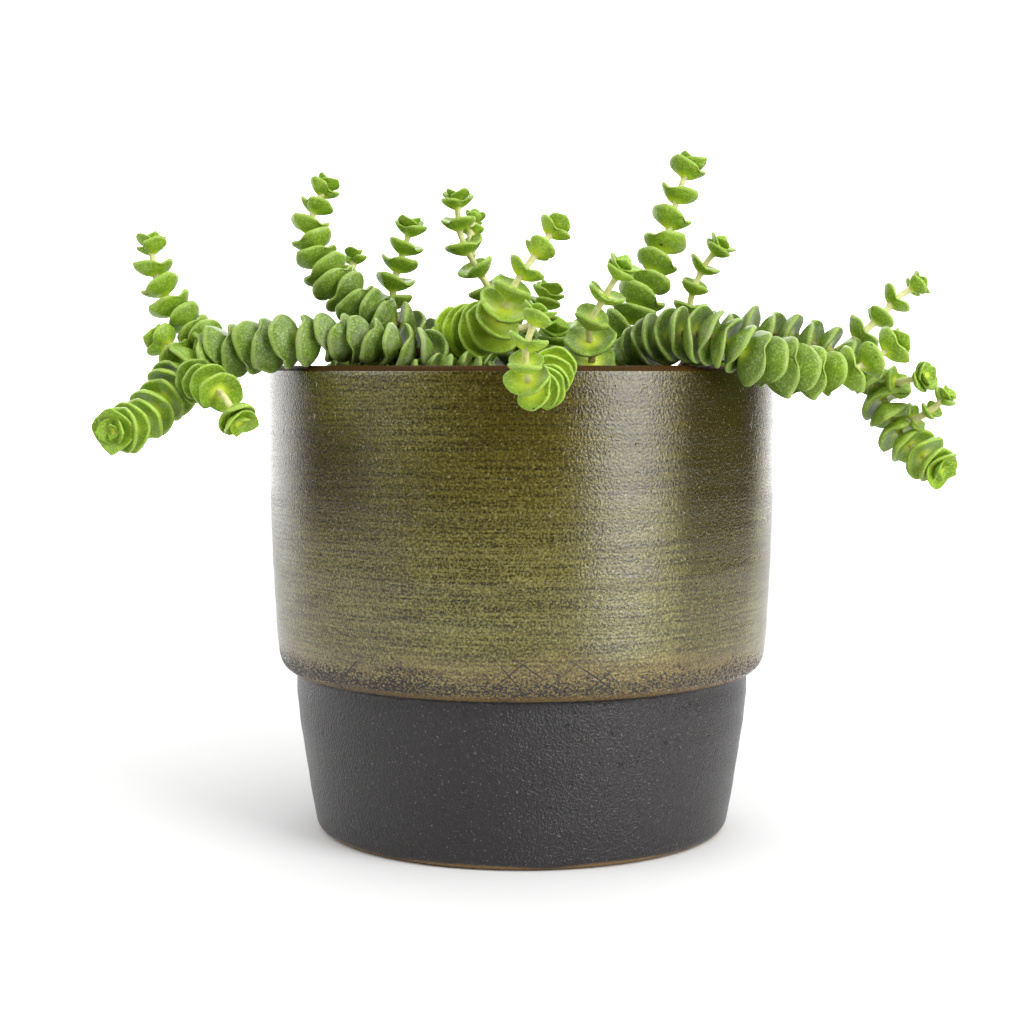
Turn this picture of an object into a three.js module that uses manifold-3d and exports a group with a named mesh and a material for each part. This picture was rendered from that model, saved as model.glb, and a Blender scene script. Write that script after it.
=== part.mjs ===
// Potted jade necklace: a trailing succulent with stacked leaf pairs, in a round ceramic cover pot.
// Millimetres, +Z up. The origin is the middle of the pot's flat base, and the front looks along -Y.
import * as THREE from 'three';
import { mergeVertices } from 'three/addons/utils/BufferGeometryUtils.js';
import Module from 'manifold-3d';

const wasm = await Module();
wasm.setup();

// Corners nearer than this are one corner, and edges shorter than this are closed up
const MERGE_WITHIN = 1e-4;
const SHORTEST_EDGE = 0.01;

// Pot
const RIM_RADIUS = 70;
const POT_HEIGHT = 128;
const STEP_HEIGHT = 43.6;
const FOOT_TOP_RADIUS = 62.6;
const BASE_RADIUS = 55.6;
const WALL = 6.5;
const WALL_DRAW_IN = 0.4;
const RIM_ROUNDING = 1.2;
const FLOOR = 9;
const POT_SIDES = 40;

// Soil
const SOIL_TOP = 116;
const SOIL_GAP = 0.4;
const SOIL_RINGS = 4;
const SOIL_LUMPS = 1.1;
const SOIL_EDGE_DROP = 1;
const HOLE_CLEARANCE = 1.1;
const HOLE_BELOW_ROOT = 0.4;
const HOLE_SIDES = 6;

// Stems and leaf pairs
const STEM_SIDES = 8;
const STEM_RADIUS_BASE = 1.1;
const STEM_RADIUS_TIP = 0.75;
const STEPS_PER_POINT = 10;
const BARE_STEP = 8;
const LEAF_THICKNESS = 0.2;
const LEAF_FILL = 0.72;
const LEAF_WIDTH = 0.84;
const LEAF_NOTCH = 0.1;
const NOTCH_SPREAD = 0.2;
const LEAF_SHOULDER = 0.12;
const KEEL_REACH = 0.55;
const KEEL_DEPTH = 0.78;
const NECK_SHARE = 0.21;
const SIZE_PLAY = 0.05;
const ROLL_PLAY = 9;
const TILT_PLAY = 5;
const LIFT_OPEN = 0.22;
const LIFT_CURVE = 1.6;
const FIRST_PAIR_ROOM = 10;

// The closing pairs of a shoot's tip: share of the last pair's size, step up and lift of the leaf tips
const TIP_PAIRS = [
  { share: 0.76, step: 0.13, lift: 0.4 },
  { share: 0.46, step: 0.12, lift: 0.6 },
];
const TIP_FILL = 0.6;
const TIP_POINT = 0.08;

const GREEN_OLD = 0x6f8f4e;
const GREEN_MID = 0x6c9a3c;
const GREEN_YOUNG = 0x7fae3f;
const GLAZE = 0x5f5c34;
const EARTH = 0x2b211a;

// Each leafy stem: its route from the root to the last pair, where the first pair sits along it,
// the pairs' sizes (tip to tip) and the gaps between them, both spread evenly from root to tip,
// the turn of the first pair and the side shoots that grow from it.
const STEMS = [
  {
    name: 'stem_left_trailer',
    colour: GREEN_OLD,
    seed: 1,
    route: [
      [-16, -32, 109], [-17, -34, 119], [-21, -42, 129.5], [-27.5, -47, 131.5], [-38, -47, 134],
      [-48.5, -43, 135.2], [-61.5, -41, 133.8], [-74.5, -35, 132], [-82, -33, 130.5], [-87.5, -34, 127],
      [-91, -38, 121], [-97.5, -50, 113.2], [-100.5, -58, 112],
    ],
    bare: 28,
    sizes: [10, 10.5, 12, 12.5, 14, 16, 16.5, 16, 15, 14],
    gaps: [4, 4, 4, 4, 5.5, 5.2, 4.6, 3.8, 4.2, 4.6],
    roll: 90,
    shoots: [
      {
        seed: 2,
        route: [
          [-79, -33.5, 131], [-83.5, -26, 135], [-88, -23, 138], [-91.5, -21.5, 141.5], [-94, -20.5, 145],
          [-97, -19.5, 150], [-98.5, -18.5, 155.5], [-99, -17.5, 160],
        ],
        bare: 5,
        sizes: [12, 12, 12.5, 13, 13.5, 12, 9.5],
        gaps: [4.4, 4.8, 5.2, 5.6, 5.6, 5.6],
        roll: 40,
      },
      {
        seed: 30,
        route: [[-86, -33, 129], [-91, -29.5, 131], [-95, -27, 134.5]],
        bare: 6,
        sizes: [10, 11, 11],
        gaps: [5],
        roll: 70,
      },
      {
        seed: 3,
        route: [
          [-88.5, -35, 125.5], [-83.5, -42, 124], [-78, -50, 122.5], [-74, -55.5, 119.5],
          [-71, -58.5, 115],
        ],
        bare: 7.5,
        sizes: [12.5, 12.5, 12.5, 12, 11.5],
        gaps: [3, 3, 5.5, 12, 12],
        roll: 0,
      },
    ],
  },
  {
    name: 'stem_left_riser',
    colour: GREEN_OLD,
    seed: 4,
    route: [
      [-14, -13, 109], [-15, -14, 120], [-22, -20, 132], [-32.5, -27, 138.5], [-39.5, -27, 141.5],
      [-45, -25, 145.5], [-53, -21, 154], [-56.5, -18, 163.5], [-56, -17, 168], [-53, -15, 175.5],
    ],
    bare: 28,
    sizes: [11, 12, 13, 14.5, 14.5, 14.5, 12.5, 10],
    gaps: [4.3, 4.3, 4.3, 4.3, 4.3, 4.5, 5, 5.4],
    roll: 90,
    shoots: [
      {
        seed: 5,
        route: [[-48, -23, 148], [-47.5, -15, 150], [-46, -12, 153.5], [-45.5, -11, 157]],
        bare: 11,
        sizes: [8, 8.5, 8.5, 7.5],
        gaps: [4, 4],
        roll: 0,
      },
    ],
  },
  {
    name: 'stem_thin_left',
    colour: GREEN_MID,
    seed: 6,
    route: [
      [-30, -6, 109], [-32, -8, 120], [-35, -10, 140.5], [-34.5, -10, 151], [-31.5, -9, 161],
      [-30.5, -9, 165.5],
    ],
    bare: 33,
    sizes: [5.5, 6.5, 9, 11, 12.5, 10],
    gaps: [5, 5],
    roll: 55,
  },
  {
    name: 'stem_middle_back',
    colour: GREEN_MID,
    seed: 7,
    route: [
      [4, -6, 109], [3, -7, 120], [-1.5, -8, 133.5], [-8.5, -10, 148], [-12, -11, 154], [-16.5, -12, 163],
      [-17.5, -13, 172.5],
    ],
    bare: 32,
    sizes: [12, 12.5, 13, 13, 12.5, 12, 10],
    gaps: [4.2, 4.2, 4.5, 6.5, 6.8, 4.8],
    roll: 40,
    shoots: [
      {
        seed: 8,
        route: [[-13.5, -11.2, 157.5], [-14, -7, 163], [-13, -4, 168]],
        bare: 9.6,
        sizes: [7, 7],
        gaps: [3],
        roll: 0,
      },
    ],
  },
  {
    name: 'stem_front_fan',
    colour: GREEN_YOUNG,
    seed: 9,
    route: [
      [-19, -27, 109], [-19, -28, 120], [-18.5, -31, 131], [-17, -34.5, 136], [-13, -40.5, 136.8],
      [-8, -48, 137.5], [-4.5, -54, 142], [-2.5, -56, 147], [1, -56, 152.5], [5, -54.5, 158], [8, -53, 162],
    ],
    bare: 26,
    sizes: [15.5, 16.5, 17, 17, 16, 14.5, 10.5, 10],
    gaps: [3.8, 3.8, 3.8, 4, 5, 6.5, 6.5],
    roll: 90,
    shoots: [
      {
        seed: 10,
        route: [[-8, -48, 137.5], [0, -44, 137.5], [4, -43, 140.5], [5.5, -43, 143.5], [6.5, -43, 146.5]],
        bare: 15.5,
        sizes: [9.5, 9.5],
        gaps: [3],
        roll: 0,
      },
    ],
  },
  {
    name: 'stem_over_rim',
    colour: GREEN_YOUNG,
    seed: 11,
    route: [
      [27, -34, 109], [26.5, -37, 120], [22, -50, 127.6], [16.5, -63, 129.7], [13, -72, 129.7],
      [10.5, -79, 126], [7, -84.5, 123], [3.5, -89, 122], [1, -93, 124.5], [0.5, -95, 129.5],
      [1.5, -96, 134.5], [3, -96, 139.5],
    ],
    bare: 58,
    sizes: [12, 12, 12, 12, 12, 12.5, 12, 11, 9.5],
    gaps: [3.4, 3.4, 3.4, 3.4, 3.6, 4.6, 5.6, 6],
    roll: 0,
  },
  {
    name: 'stem_front_right',
    colour: GREEN_MID,
    seed: 12,
    route: [
      [16, -38, 109], [16.5, -41, 120], [17.5, -49, 129.5], [16.8, -53, 134], [16.5, -56, 138],
      [18.5, -58, 142], [20.5, -59, 145.5], [24, -61, 151.5],
    ],
    bare: 28.5,
    sizes: [15.5, 15.5, 15, 14, 11, 10],
    gaps: [6, 6.5, 6.5],
    roll: 0,
  },
  {
    name: 'stem_tall',
    colour: GREEN_MID,
    seed: 13,
    route: [
      [14, -22, 109], [15, -23, 121], [20, -24, 131.5], [24, -27.5, 135], [28, -28, 140], [31, -27, 145],
      [34.5, -25, 152.5], [38, -22, 161], [40, -20, 168], [42, -19, 174.5], [44, -18, 180.5],
    ],
    bare: 26,
    sizes: [13, 14.5, 15.5, 15.5, 15, 14, 13, 12, 11.5],
    gaps: [4.2, 4.2, 4.2, 4.2, 5, 6.6, 6.6, 6.4],
    roll: 40,
  },
  {
    name: 'stem_thin_right',
    colour: GREEN_MID,
    seed: 14,
    route: [
      [45, 7, 109], [46, 6, 121], [47, 4, 139], [47, 4, 145], [48, 3, 149.5], [51, 2, 156],
      [54.5, 1, 160.5],
    ],
    bare: 36,
    sizes: [6.5, 7, 8, 9.5, 10],
    gaps: [3.8, 5, 6, 6.4],
    roll: 0,
  },
  {
    name: 'stem_right_front',
    colour: GREEN_OLD,
    seed: 15,
    route: [
      [22, -28, 109], [23, -30, 120], [27.5, -38, 130], [32, -44, 133.5], [40, -51, 135.8],
      [48, -55, 134.8], [56, -56, 131], [61, -54, 129], [66.5, -51, 127.5], [72, -47, 126.5],
      [78.5, -44, 126], [84.5, -42, 127], [90, -40.5, 129.5], [95.5, -39, 133],
    ],
    bare: 26,
    sizes: [12, 12, 13, 15.5, 16, 16, 16, 15.5, 11, 9],
    gaps: [3.7, 3.7, 3.7, 3.7, 3.7, 4.6, 5.2, 6.6, 6.8],
    roll: 90,
  },
  {
    name: 'stem_right_back',
    colour: GREEN_OLD,
    seed: 16,
    route: [
      [38, -4, 109], [40, -5, 121], [49, -7, 134], [58, -9, 136], [66, -12, 136.5], [73.5, -15, 135],
      [81.5, -18, 132.5], [87, -20, 130], [92.5, -22, 126], [95, -24, 121.5], [99, -28, 111.5],
      [102.5, -31, 106.5], [107.5, -38, 102],
    ],
    bare: 27,
    sizes: [13, 14.5, 16, 16, 15.5, 14, 14.5, 14.5, 13],
    gaps: [4.8, 5.2, 5.6, 5.6, 5.4, 5.2, 5, 5.2],
    roll: 90,
    shoots: [
      {
        seed: 17,
        route: [[84, -19, 131.5], [90, -17, 135.5], [97.5, -15, 142], [101, -14, 146], [106.5, -13, 149.5]],
        bare: 9.5,
        sizes: [10, 9.5, 8, 8, 7.5],
        gaps: [6, 6],
        roll: 0,
      },
      {
        seed: 18,
        route: [[95, -23.5, 122], [98.5, -29, 123.5], [104, -35, 125]],
        bare: 7,
        sizes: [10, 10.5, 9.5],
        gaps: [5.8],
        roll: 30,
      },
      {
        seed: 19,
        route: [[98.5, -27.5, 113], [101.5, -33, 113.5], [106.5, -37.5, 117], [109, -39, 120]],
        bare: 8,
        sizes: [7.5, 7.5, 7],
        gaps: [4.6],
        roll: 0,
      },
    ],
  },
  {
    name: 'stem_back_1',
    colour: GREEN_OLD,
    seed: 20,
    route: [
      [-20, 16, 109], [-22, 18, 120], [-33, 34, 132.5], [-41, 49, 136.5], [-47, 60, 134], [-50, 68, 125],
      [-52, 73, 114], [-52, 76, 102],
    ],
    bare: 15,
    sizes: [11, 12, 14, 14.5, 14, 12],
    gaps: [5, 5.2, 5.4, 5.6],
    roll: 90,
  },
  {
    name: 'stem_back_2',
    colour: GREEN_MID,
    seed: 21,
    route: [
      [-6, 20, 109], [-7, 22, 120], [-10, 38, 132], [-13, 55, 136.8], [-15, 68, 135], [-17, 77, 128],
      [-18, 81, 117], [-17, 83, 106],
    ],
    bare: 15,
    sizes: [11, 12, 14, 14.5, 14, 12],
    gaps: [5, 5.2, 5.4, 5.6],
    roll: 0,
  },
  {
    name: 'stem_back_3',
    colour: GREEN_OLD,
    seed: 22,
    route: [
      [12, 18, 109], [13, 20, 120], [17, 36, 131.5], [20, 52, 136.8], [22, 65, 135.6], [24, 75, 129],
      [26, 80, 119], [29, 82, 108], [33, 81, 99],
    ],
    bare: 15,
    sizes: [11, 12, 14, 14.5, 14, 12],
    gaps: [5, 5.2, 5.4, 5.6],
    roll: 90,
  },
  {
    name: 'stem_back_4',
    colour: GREEN_MID,
    seed: 23,
    route: [
      [26, 12, 109], [28, 14, 120], [38, 26, 131.5], [49, 38, 136.4], [58, 47, 134], [64, 54, 126],
      [67, 59, 115], [67, 62, 104],
    ],
    bare: 15,
    sizes: [11, 12, 14, 14.5, 14, 11.5],
    gaps: [5, 5.2, 5.4, 5.6],
    roll: 0,
  },
  {
    name: 'stem_inner_1',
    colour: GREEN_OLD,
    seed: 24,
    route: [[-44, -6, 109], [-45, -4, 119], [-46, 4, 124], [-44, 14, 125.5], [-40, 22, 125.5]],
    bare: 15,
    sizes: [9, 10, 11, 10],
    gaps: [4.4],
    roll: 0,
  },
  {
    name: 'stem_inner_2',
    colour: GREEN_MID,
    seed: 25,
    route: [[-24, 1, 109], [-24, 2, 119], [-25, 3, 126], [-25, 4, 132]],
    bare: 13,
    sizes: [10, 11, 12, 10],
    gaps: [4.2],
    roll: 30,
  },
  {
    name: 'stem_inner_3',
    colour: GREEN_OLD,
    seed: 26,
    route: [[9, -27, 109], [9, -29, 119], [9, -33, 127], [9.5, -36, 134]],
    bare: 14,
    sizes: [10, 11.5, 12.5, 11],
    gaps: [4.2],
    roll: 0,
  },
  {
    name: 'stem_inner_4',
    colour: GREEN_MID,
    seed: 27,
    route: [[31, -13, 109], [31, -13, 119], [33, -13, 126], [36, -14, 131]],
    bare: 13,
    sizes: [10, 11, 11, 10],
    gaps: [4.2],
    roll: 60,
  },
  {
    name: 'stem_inner_5',
    colour: GREEN_MID,
    seed: 28,
    route: [[-1, 4, 109], [-2, 5, 119], [-4, 7, 126], [-6, 8, 131]],
    bare: 13,
    sizes: [10, 11, 12, 10],
    gaps: [4.2],
    roll: 10,
  },
  {
    name: 'stem_inner_6',
    colour: GREEN_OLD,
    seed: 29,
    route: [[43, 19, 109], [44, 20, 119], [46, 21, 125], [49, 20, 129]],
    bare: 12.5,
    sizes: [9, 10, 10, 9],
    gaps: [4],
    roll: 0,
  },
];

// One number from 0 to 1 for each seed and count, the same each time
function draw(seed, count) {
  const wave = Math.sin(seed * 12.9898 + count * 78.233) * 43758.5453;
  return wave - Math.floor(wave);
}

// A draw from -1 to 1
function play(seed, count) {
  return 2 * draw(seed, count) - 1;
}

// The value at a share of the way along evenly spread values
function ramp(values, share) {
  const place = Math.min(Math.max(share, 0), 1) * (values.length - 1);
  const first = Math.min(Math.floor(place), Math.max(values.length - 2, 0));
  const last = Math.min(first + 1, values.length - 1);
  return values[first] + (values[last] - values[first]) * (place - first);
}

// Merges the shared corners of a geometry, drops triangles without area and faces it outwards
function closed(geometry) {
  const bare = geometry.clone();
  bare.deleteAttribute('normal');
  bare.deleteAttribute('uv');
  const merged = mergeVertices(bare, MERGE_WITHIN);
  const places = merged.attributes.position;
  const triangles = [];
  let volume = 0;
  for (let i = 0; i < merged.index.count; i += 3) {
    const ids = [0, 1, 2].map((k) => merged.index.getX(i + k));
    if (new Set(ids).size < 3) continue;
    const [a, b, c] = ids.map((id) => new THREE.Vector3().fromBufferAttribute(places, id));
    volume += a.dot(b.cross(c));
    triangles.push(ids);
  }
  merged.setIndex(triangles.flatMap(([a, b, c]) => (volume > 0 ? [a, b, c] : [a, c, b])));
  return merged;
}

function toSolid(geometry) {
  const merged = closed(geometry);
  return new wasm.Manifold(new wasm.Mesh({
    numProp: 3,
    vertProperties: new Float32Array(merged.attributes.position.array),
    triVerts: new Uint32Array(merged.index.array),
  }));
}

function fromSolid(solid) {
  const mesh = solid.simplify(SHORTEST_EDGE).getMesh();
  const geometry = new THREE.BufferGeometry();
  geometry.setAttribute('position', new THREE.BufferAttribute(new Float32Array(mesh.vertProperties), 3));
  geometry.setIndex(Array.from(mesh.triVerts));
  geometry.computeVertexNormals();
  return geometry;
}

// Walks a route and carries a sideways direction along it without twist
function walk(route) {
  const knots = route.map((place) => new THREE.Vector3(...place));
  const curve = new THREE.CatmullRomCurve3(knots, false, 'catmullrom', 0.5);
  const count = STEPS_PER_POINT * (route.length - 1);
  const marks = [];
  for (let i = 0; i <= count; i++) {
    marks.push({ point: curve.getPoint(i / count), run: 0 });
  }
  let side = new THREE.Vector3(0, 1, 0);
  marks.forEach((mark, i) => {
    const before = marks[Math.max(i - 1, 0)];
    const after = marks[Math.min(i + 1, count)];
    mark.along = after.point.clone().sub(before.point).normalize();
    if (i === 0 && Math.abs(mark.along.y) > 0.9) side = new THREE.Vector3(1, 0, 0);
    side = side.clone().addScaledVector(mark.along, -side.dot(mark.along)).normalize();
    mark.side = side;
    mark.run = i === 0 ? 0 : before.run + mark.point.distanceTo(before.point);
  });
  return marks;
}

// The place and directions at a distance along a walked route, and straight on past its end
function placeAt(marks, run) {
  const end = marks[marks.length - 1];
  let i = 1;
  while (i < marks.length - 1 && marks[i].run < run) i++;
  const a = marks[i - 1];
  const b = marks[i];
  const share = Math.min(Math.max((run - a.run) / (b.run - a.run), 0), 1);
  const point = a.point.clone().lerp(b.point, share);
  const along = a.along.clone().lerp(b.along, share).normalize();
  const side = a.side.clone().lerp(b.side, share);
  side.addScaledVector(along, -side.dot(along)).normalize();
  if (run > end.run) point.addScaledVector(along, run - end.run);
  return { point, along, side };
}

// The leaf pairs of a stem: where each sits, how large it is and how it is turned
function leafPairs(stem, length) {
  const runs = [stem.bare];
  while (runs[runs.length - 1] < length) {
    const last = runs[runs.length - 1];
    runs.push(last + ramp(stem.gaps, last / length));
  }
  const over = runs[runs.length - 1] - length;
  const under = length - runs[runs.length - 2];
  if (over > under) runs.pop();
  const stretch = (length - stem.bare) / Math.max(runs[runs.length - 1] - stem.bare, 1e-6);
  return runs.map((run, k) => {
    const here = stem.bare + (run - stem.bare) * stretch;
    const before = k === 0 ? here - FIRST_PAIR_ROOM : stem.bare + (runs[k - 1] - stem.bare) * stretch;
    const size = ramp(stem.sizes, here / length) * (1 + SIZE_PLAY * play(stem.seed, 4 * k));
    return {
      run: here,
      size,
      thickness: Math.min(LEAF_THICKNESS * size, LEAF_FILL * (here - before)),
      roll: stem.roll + 90 * k + ROLL_PLAY * play(stem.seed, 4 * k + 1),
      tip: TILT_PLAY * play(stem.seed, 4 * k + 2),
      lean: TILT_PLAY * play(stem.seed, 4 * k + 3),
      lift: LIFT_OPEN,
    };
  });
}

// The small closing pairs past the last one, each turned a quarter from the one below
function closingPairs(last) {
  const pairs = [];
  let run = last.run;
  TIP_PAIRS.forEach((closing, k) => {
    run += closing.step * last.size;
    pairs.push({
      run,
      size: closing.share * last.size,
      thickness: TIP_FILL * closing.step * last.size,
      roll: last.roll + 90 * (k + 1),
      tip: 0,
      lean: 0,
      lift: closing.lift,
    });
  });
  return pairs;
}

// A leaf pair's own directions: its leaves point along `long`, `wide` is across them
function pairFrame(marks, pair) {
  const { point, along, side } = placeAt(marks, pair.run);
  const long = along.clone().cross(side);
  const turn = new THREE.Quaternion().setFromAxisAngle(along, THREE.MathUtils.degToRad(pair.roll));
  long.applyQuaternion(turn);
  const wide = along.clone().cross(long);
  const pitch = new THREE.Quaternion().setFromAxisAngle(long, THREE.MathUtils.degToRad(pair.tip));
  const lean = new THREE.Quaternion().setFromAxisAngle(wide, THREE.MathUtils.degToRad(pair.lean));
  const both = pitch.multiply(lean);
  return {
    point,
    long: long.applyQuaternion(both),
    wide: wide.applyQuaternion(both),
    up: along.applyQuaternion(both),
  };
}

// A point of a leaf pair's outline, shrunk to `reach`, with the leaf tips lifted
function leafPoint(frame, pair, reach, angle, depth) {
  const long = Math.cos(angle) * reach;
  const notch = 1 - LEAF_NOTCH * Math.exp(-((Math.cos(angle) / NOTCH_SPREAD) ** 2));
  const shoulder = 1 + LEAF_SHOULDER * Math.sin(2 * angle) ** 2;
  const wide = Math.sin(angle) * reach * LEAF_WIDTH * shoulder * notch;
  const up = pair.lift * Math.abs(long) ** LIFT_CURVE * (pair.size / 2) - depth;
  return frame.point.clone()
    .addScaledVector(frame.long, long * pair.size / 2)
    .addScaledVector(frame.wide, wide * pair.size / 2)
    .addScaledVector(frame.up, up);
}

// A stem with its leaf pairs as one turned shape: each ring is then bent to the route
// and, where it belongs to a leaf pair, drawn out to the leaf's outline.
function leafyShape(stem) {
  const marks = walk(stem.route);
  const rings = stemRings(stem, marks);
  const profile = rings.map((ring, k) => new THREE.Vector2(ring.pair ? ring.reach : ring.radius, k));
  const shape = new THREE.LatheGeometry(profile, STEM_SIDES);
  const points = shape.attributes.position;
  for (let i = 0; i < points.count; i++) {
    const ring = rings[i % rings.length];
    const corner = Math.floor(i / rings.length);
    const place = ring.pair ? leafCorner(ring, corner) : stemCorner(ring, corner, marks);
    points.setXYZ(i, place.x, place.y, place.z);
  }
  return shape;
}

// The rings of a leafy stem from root to tip. A pair has a ring for its keel and one for its margin,
// and bare stem shows only where the next pair stands off.
function stemRings(stem, marks) {
  const length = marks[marks.length - 1].run;
  const pairs = leafPairs(stem, length);
  const last = pairs[pairs.length - 1];
  const thin = (run) => ramp([STEM_RADIUS_BASE, STEM_RADIUS_TIP], run / length);
  const bare = (run) => ({ run, radius: thin(run) });
  const rings = [{ run: 0, radius: 0 }];
  for (let run = 0; run < pairs[0].run - BARE_STEP; run += BARE_STEP) rings.push(bare(run));
  let top = 0;
  for (const pair of [...pairs, ...closingPairs(last)]) {
    const frame = pairFrame(marks, pair);
    const under = pair.run - pair.thickness;
    const open = under - top > NECK_SHARE * pair.size;
    if (pair !== pairs[0] && open) rings.push(bare(top));
    if (pair === pairs[0] || open) rings.push(bare(under));
    rings.push({ pair, frame, reach: KEEL_REACH, depth: KEEL_DEPTH * pair.thickness });
    rings.push({ pair, frame, reach: 1, depth: 0 });
    top = pair.run;
  }
  rings.push({ run: top + TIP_POINT * last.size, radius: 0 });
  return rings;
}

// A ring's corners are counted from the leaf tip nearest to the first corner, so that tips stay sharp
function leafCorner(ring, corner) {
  const first = Math.round(ring.pair.roll / 360 * STEM_SIDES);
  const angle = (corner - first) * 2 * Math.PI / STEM_SIDES;
  return leafPoint(ring.frame, ring.pair, ring.reach, angle, ring.depth);
}

function stemCorner(ring, corner, marks) {
  const angle = corner * 2 * Math.PI / STEM_SIDES;
  const { point, along, side } = placeAt(marks, ring.run);
  return point
    .addScaledVector(along.clone().cross(side), ring.radius * Math.cos(angle))
    .addScaledVector(side, -ring.radius * Math.sin(angle));
}

function leafyStem(stem) {
  let solid = toSolid(leafyShape(stem));
  for (const shoot of stem.shoots ?? []) solid = solid.add(toSolid(leafyShape(shoot)));
  return fromSolid(solid);
}

// The ceramic pot: a foot, a step, a wide body that widens to the rim, and an open inside
function pot() {
  const outline = [
    [0, 0], [BASE_RADIUS, 0], [57.3, 1.6], [58.6, 8.5], [61.8, 30], [FOOT_TOP_RADIUS, 38],
    [FOOT_TOP_RADIUS, STEP_HEIGHT - 1], [64.8, STEP_HEIGHT], [66.4, 45.2], [67.3, 48], [67.9, 53],
    [68.9, 75], [69.5, 97],
    [RIM_RADIUS, POT_HEIGHT - RIM_ROUNDING], [RIM_RADIUS - RIM_ROUNDING, POT_HEIGHT],
    [RIM_RADIUS - WALL + RIM_ROUNDING, POT_HEIGHT], [RIM_RADIUS - WALL, POT_HEIGHT - RIM_ROUNDING],
    ...innerWall(0), [0, FLOOR],
  ];
  return turned(outline, POT_SIDES);
}

// The pot's inner wall from under the rim down to the floor, drawn in by a gap
function innerWall(gap) {
  return [[62.8, 100], [61.4, 54], [56.2, STEP_HEIGHT - 2], [52.5, 13], [49, FLOOR]]
    .map(([radius, height]) => [radius - gap, height + (height === FLOOR ? gap : 0)]);
}

function turned(outline, sides) {
  const shape = new THREE.LatheGeometry(outline.map((place) => new THREE.Vector2(...place)), sides);
  return shape.rotateX(Math.PI / 2);
}

// The soil fills the pot up to a little below the rim, with a lumpy top and a plain hole for each stem
function soil() {
  const edge = RIM_RADIUS - WALL - WALL_DRAW_IN - SOIL_GAP;
  const outline = [
    [0, FLOOR + SOIL_GAP], ...innerWall(SOIL_GAP).reverse(), [edge, SOIL_TOP - SOIL_EDGE_DROP],
  ];
  for (let k = 1; k <= SOIL_RINGS; k++) {
    outline.push([edge * (1 - k / SOIL_RINGS), SOIL_TOP]);
  }
  const shape = closed(turned(outline, POT_SIDES));
  const points = shape.attributes.position;
  for (let i = 0; i < points.count; i++) {
    if (points.getZ(i) < SOIL_TOP - SOIL_EDGE_DROP / 2) continue;
    const lumps = play(Math.round(points.getX(i)), Math.round(points.getY(i)));
    points.setZ(i, SOIL_TOP + SOIL_LUMPS * lumps);
  }
  let solid = toSolid(shape);
  for (const stem of STEMS) solid = solid.subtract(toSolid(stemHole(stem)));
  return fromSolid(solid);
}

// A hole along the straight root end of a stem, a little wider and deeper than the stem
function stemHole(stem) {
  const root = new THREE.Vector3(...stem.route[0]);
  const above = new THREE.Vector3(...stem.route[1]);
  const along = above.clone().sub(root).normalize();
  root.addScaledVector(along, -HOLE_BELOW_ROOT);
  const length = root.distanceTo(above);
  const radius = STEM_RADIUS_BASE + HOLE_CLEARANCE;
  const shape = new THREE.CylinderGeometry(radius, radius, length, HOLE_SIDES);
  shape.translate(0, length / 2, 0);
  shape.applyQuaternion(new THREE.Quaternion().setFromUnitVectors(new THREE.Vector3(0, 1, 0), along));
  return shape.translate(root.x, root.y, root.z);
}

function piece(name, geometry, colour, roughness) {
  const material = new THREE.MeshStandardMaterial({ color: colour, roughness, metalness: 0 });
  const mesh = new THREE.Mesh(geometry, material);
  mesh.name = name;
  return mesh;
}

const plant = new THREE.Group();
for (const stem of STEMS) plant.add(piece(stem.name, leafyStem(stem), stem.colour, 0.45));

const potted = new THREE.Group();
potted.add(piece('pot', closed(pot()), GLAZE, 0.35));
potted.add(piece('soil', soil(), EARTH, 0.95));
potted.add(plant);

export default potted;
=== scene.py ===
"""Potted jade necklace: fine leafy stems, soil and a glazed stoneware pot, with a studio stage.

Metres, +Z up, and the photographed front looks along -Y. The routes, sizes and gaps of the stems
are in millimetres. Each leafy stem, the soil and the pot take the place of their plain solids.
"""

import math

import bpy
import numpy as np
from bpy.props import FloatProperty, FloatVectorProperty, IntProperty, PointerProperty
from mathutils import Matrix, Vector


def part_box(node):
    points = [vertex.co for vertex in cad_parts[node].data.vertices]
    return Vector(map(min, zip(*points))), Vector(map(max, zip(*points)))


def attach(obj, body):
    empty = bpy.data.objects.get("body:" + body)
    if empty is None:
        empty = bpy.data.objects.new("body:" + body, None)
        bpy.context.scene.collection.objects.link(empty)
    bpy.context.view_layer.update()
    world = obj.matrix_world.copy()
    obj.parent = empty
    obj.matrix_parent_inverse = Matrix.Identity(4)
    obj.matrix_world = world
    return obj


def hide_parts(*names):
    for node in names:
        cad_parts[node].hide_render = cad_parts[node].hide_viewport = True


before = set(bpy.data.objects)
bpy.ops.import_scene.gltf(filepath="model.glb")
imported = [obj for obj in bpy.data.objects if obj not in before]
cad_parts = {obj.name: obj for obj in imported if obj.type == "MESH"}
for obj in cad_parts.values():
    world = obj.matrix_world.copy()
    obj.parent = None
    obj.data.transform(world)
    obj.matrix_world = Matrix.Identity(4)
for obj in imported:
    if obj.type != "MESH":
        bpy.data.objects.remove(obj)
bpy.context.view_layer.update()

bl_info = {
    "name": "Potted Jade Necklace",
    "version": (1, 0, 0),
    "blender": (4, 5, 0),
    "location": "View3D > Sidebar > Jade Necklace",
    "description": "Builds a potted jade necklace with fine leaves, soil, a glazed pot and a stage",
    "category": "Add Mesh",
}

MM = 0.001
POT_LOW, POT_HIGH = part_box("pot")


def linear(red, green, blue):
    """A screen colour from 0 to 255 as the linear colour that shaders use."""
    shares = [value / 255 for value in (red, green, blue)]
    return tuple(s / 12.92 if s <= 0.04045 else ((s + 0.055) / 1.055) ** 2.4 for s in shares)


# The fast wave that draws are read from
SEED_TURN = 12.9898
COUNT_TURN = 78.233
WAVE_HEIGHT = 43758.5453

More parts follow.
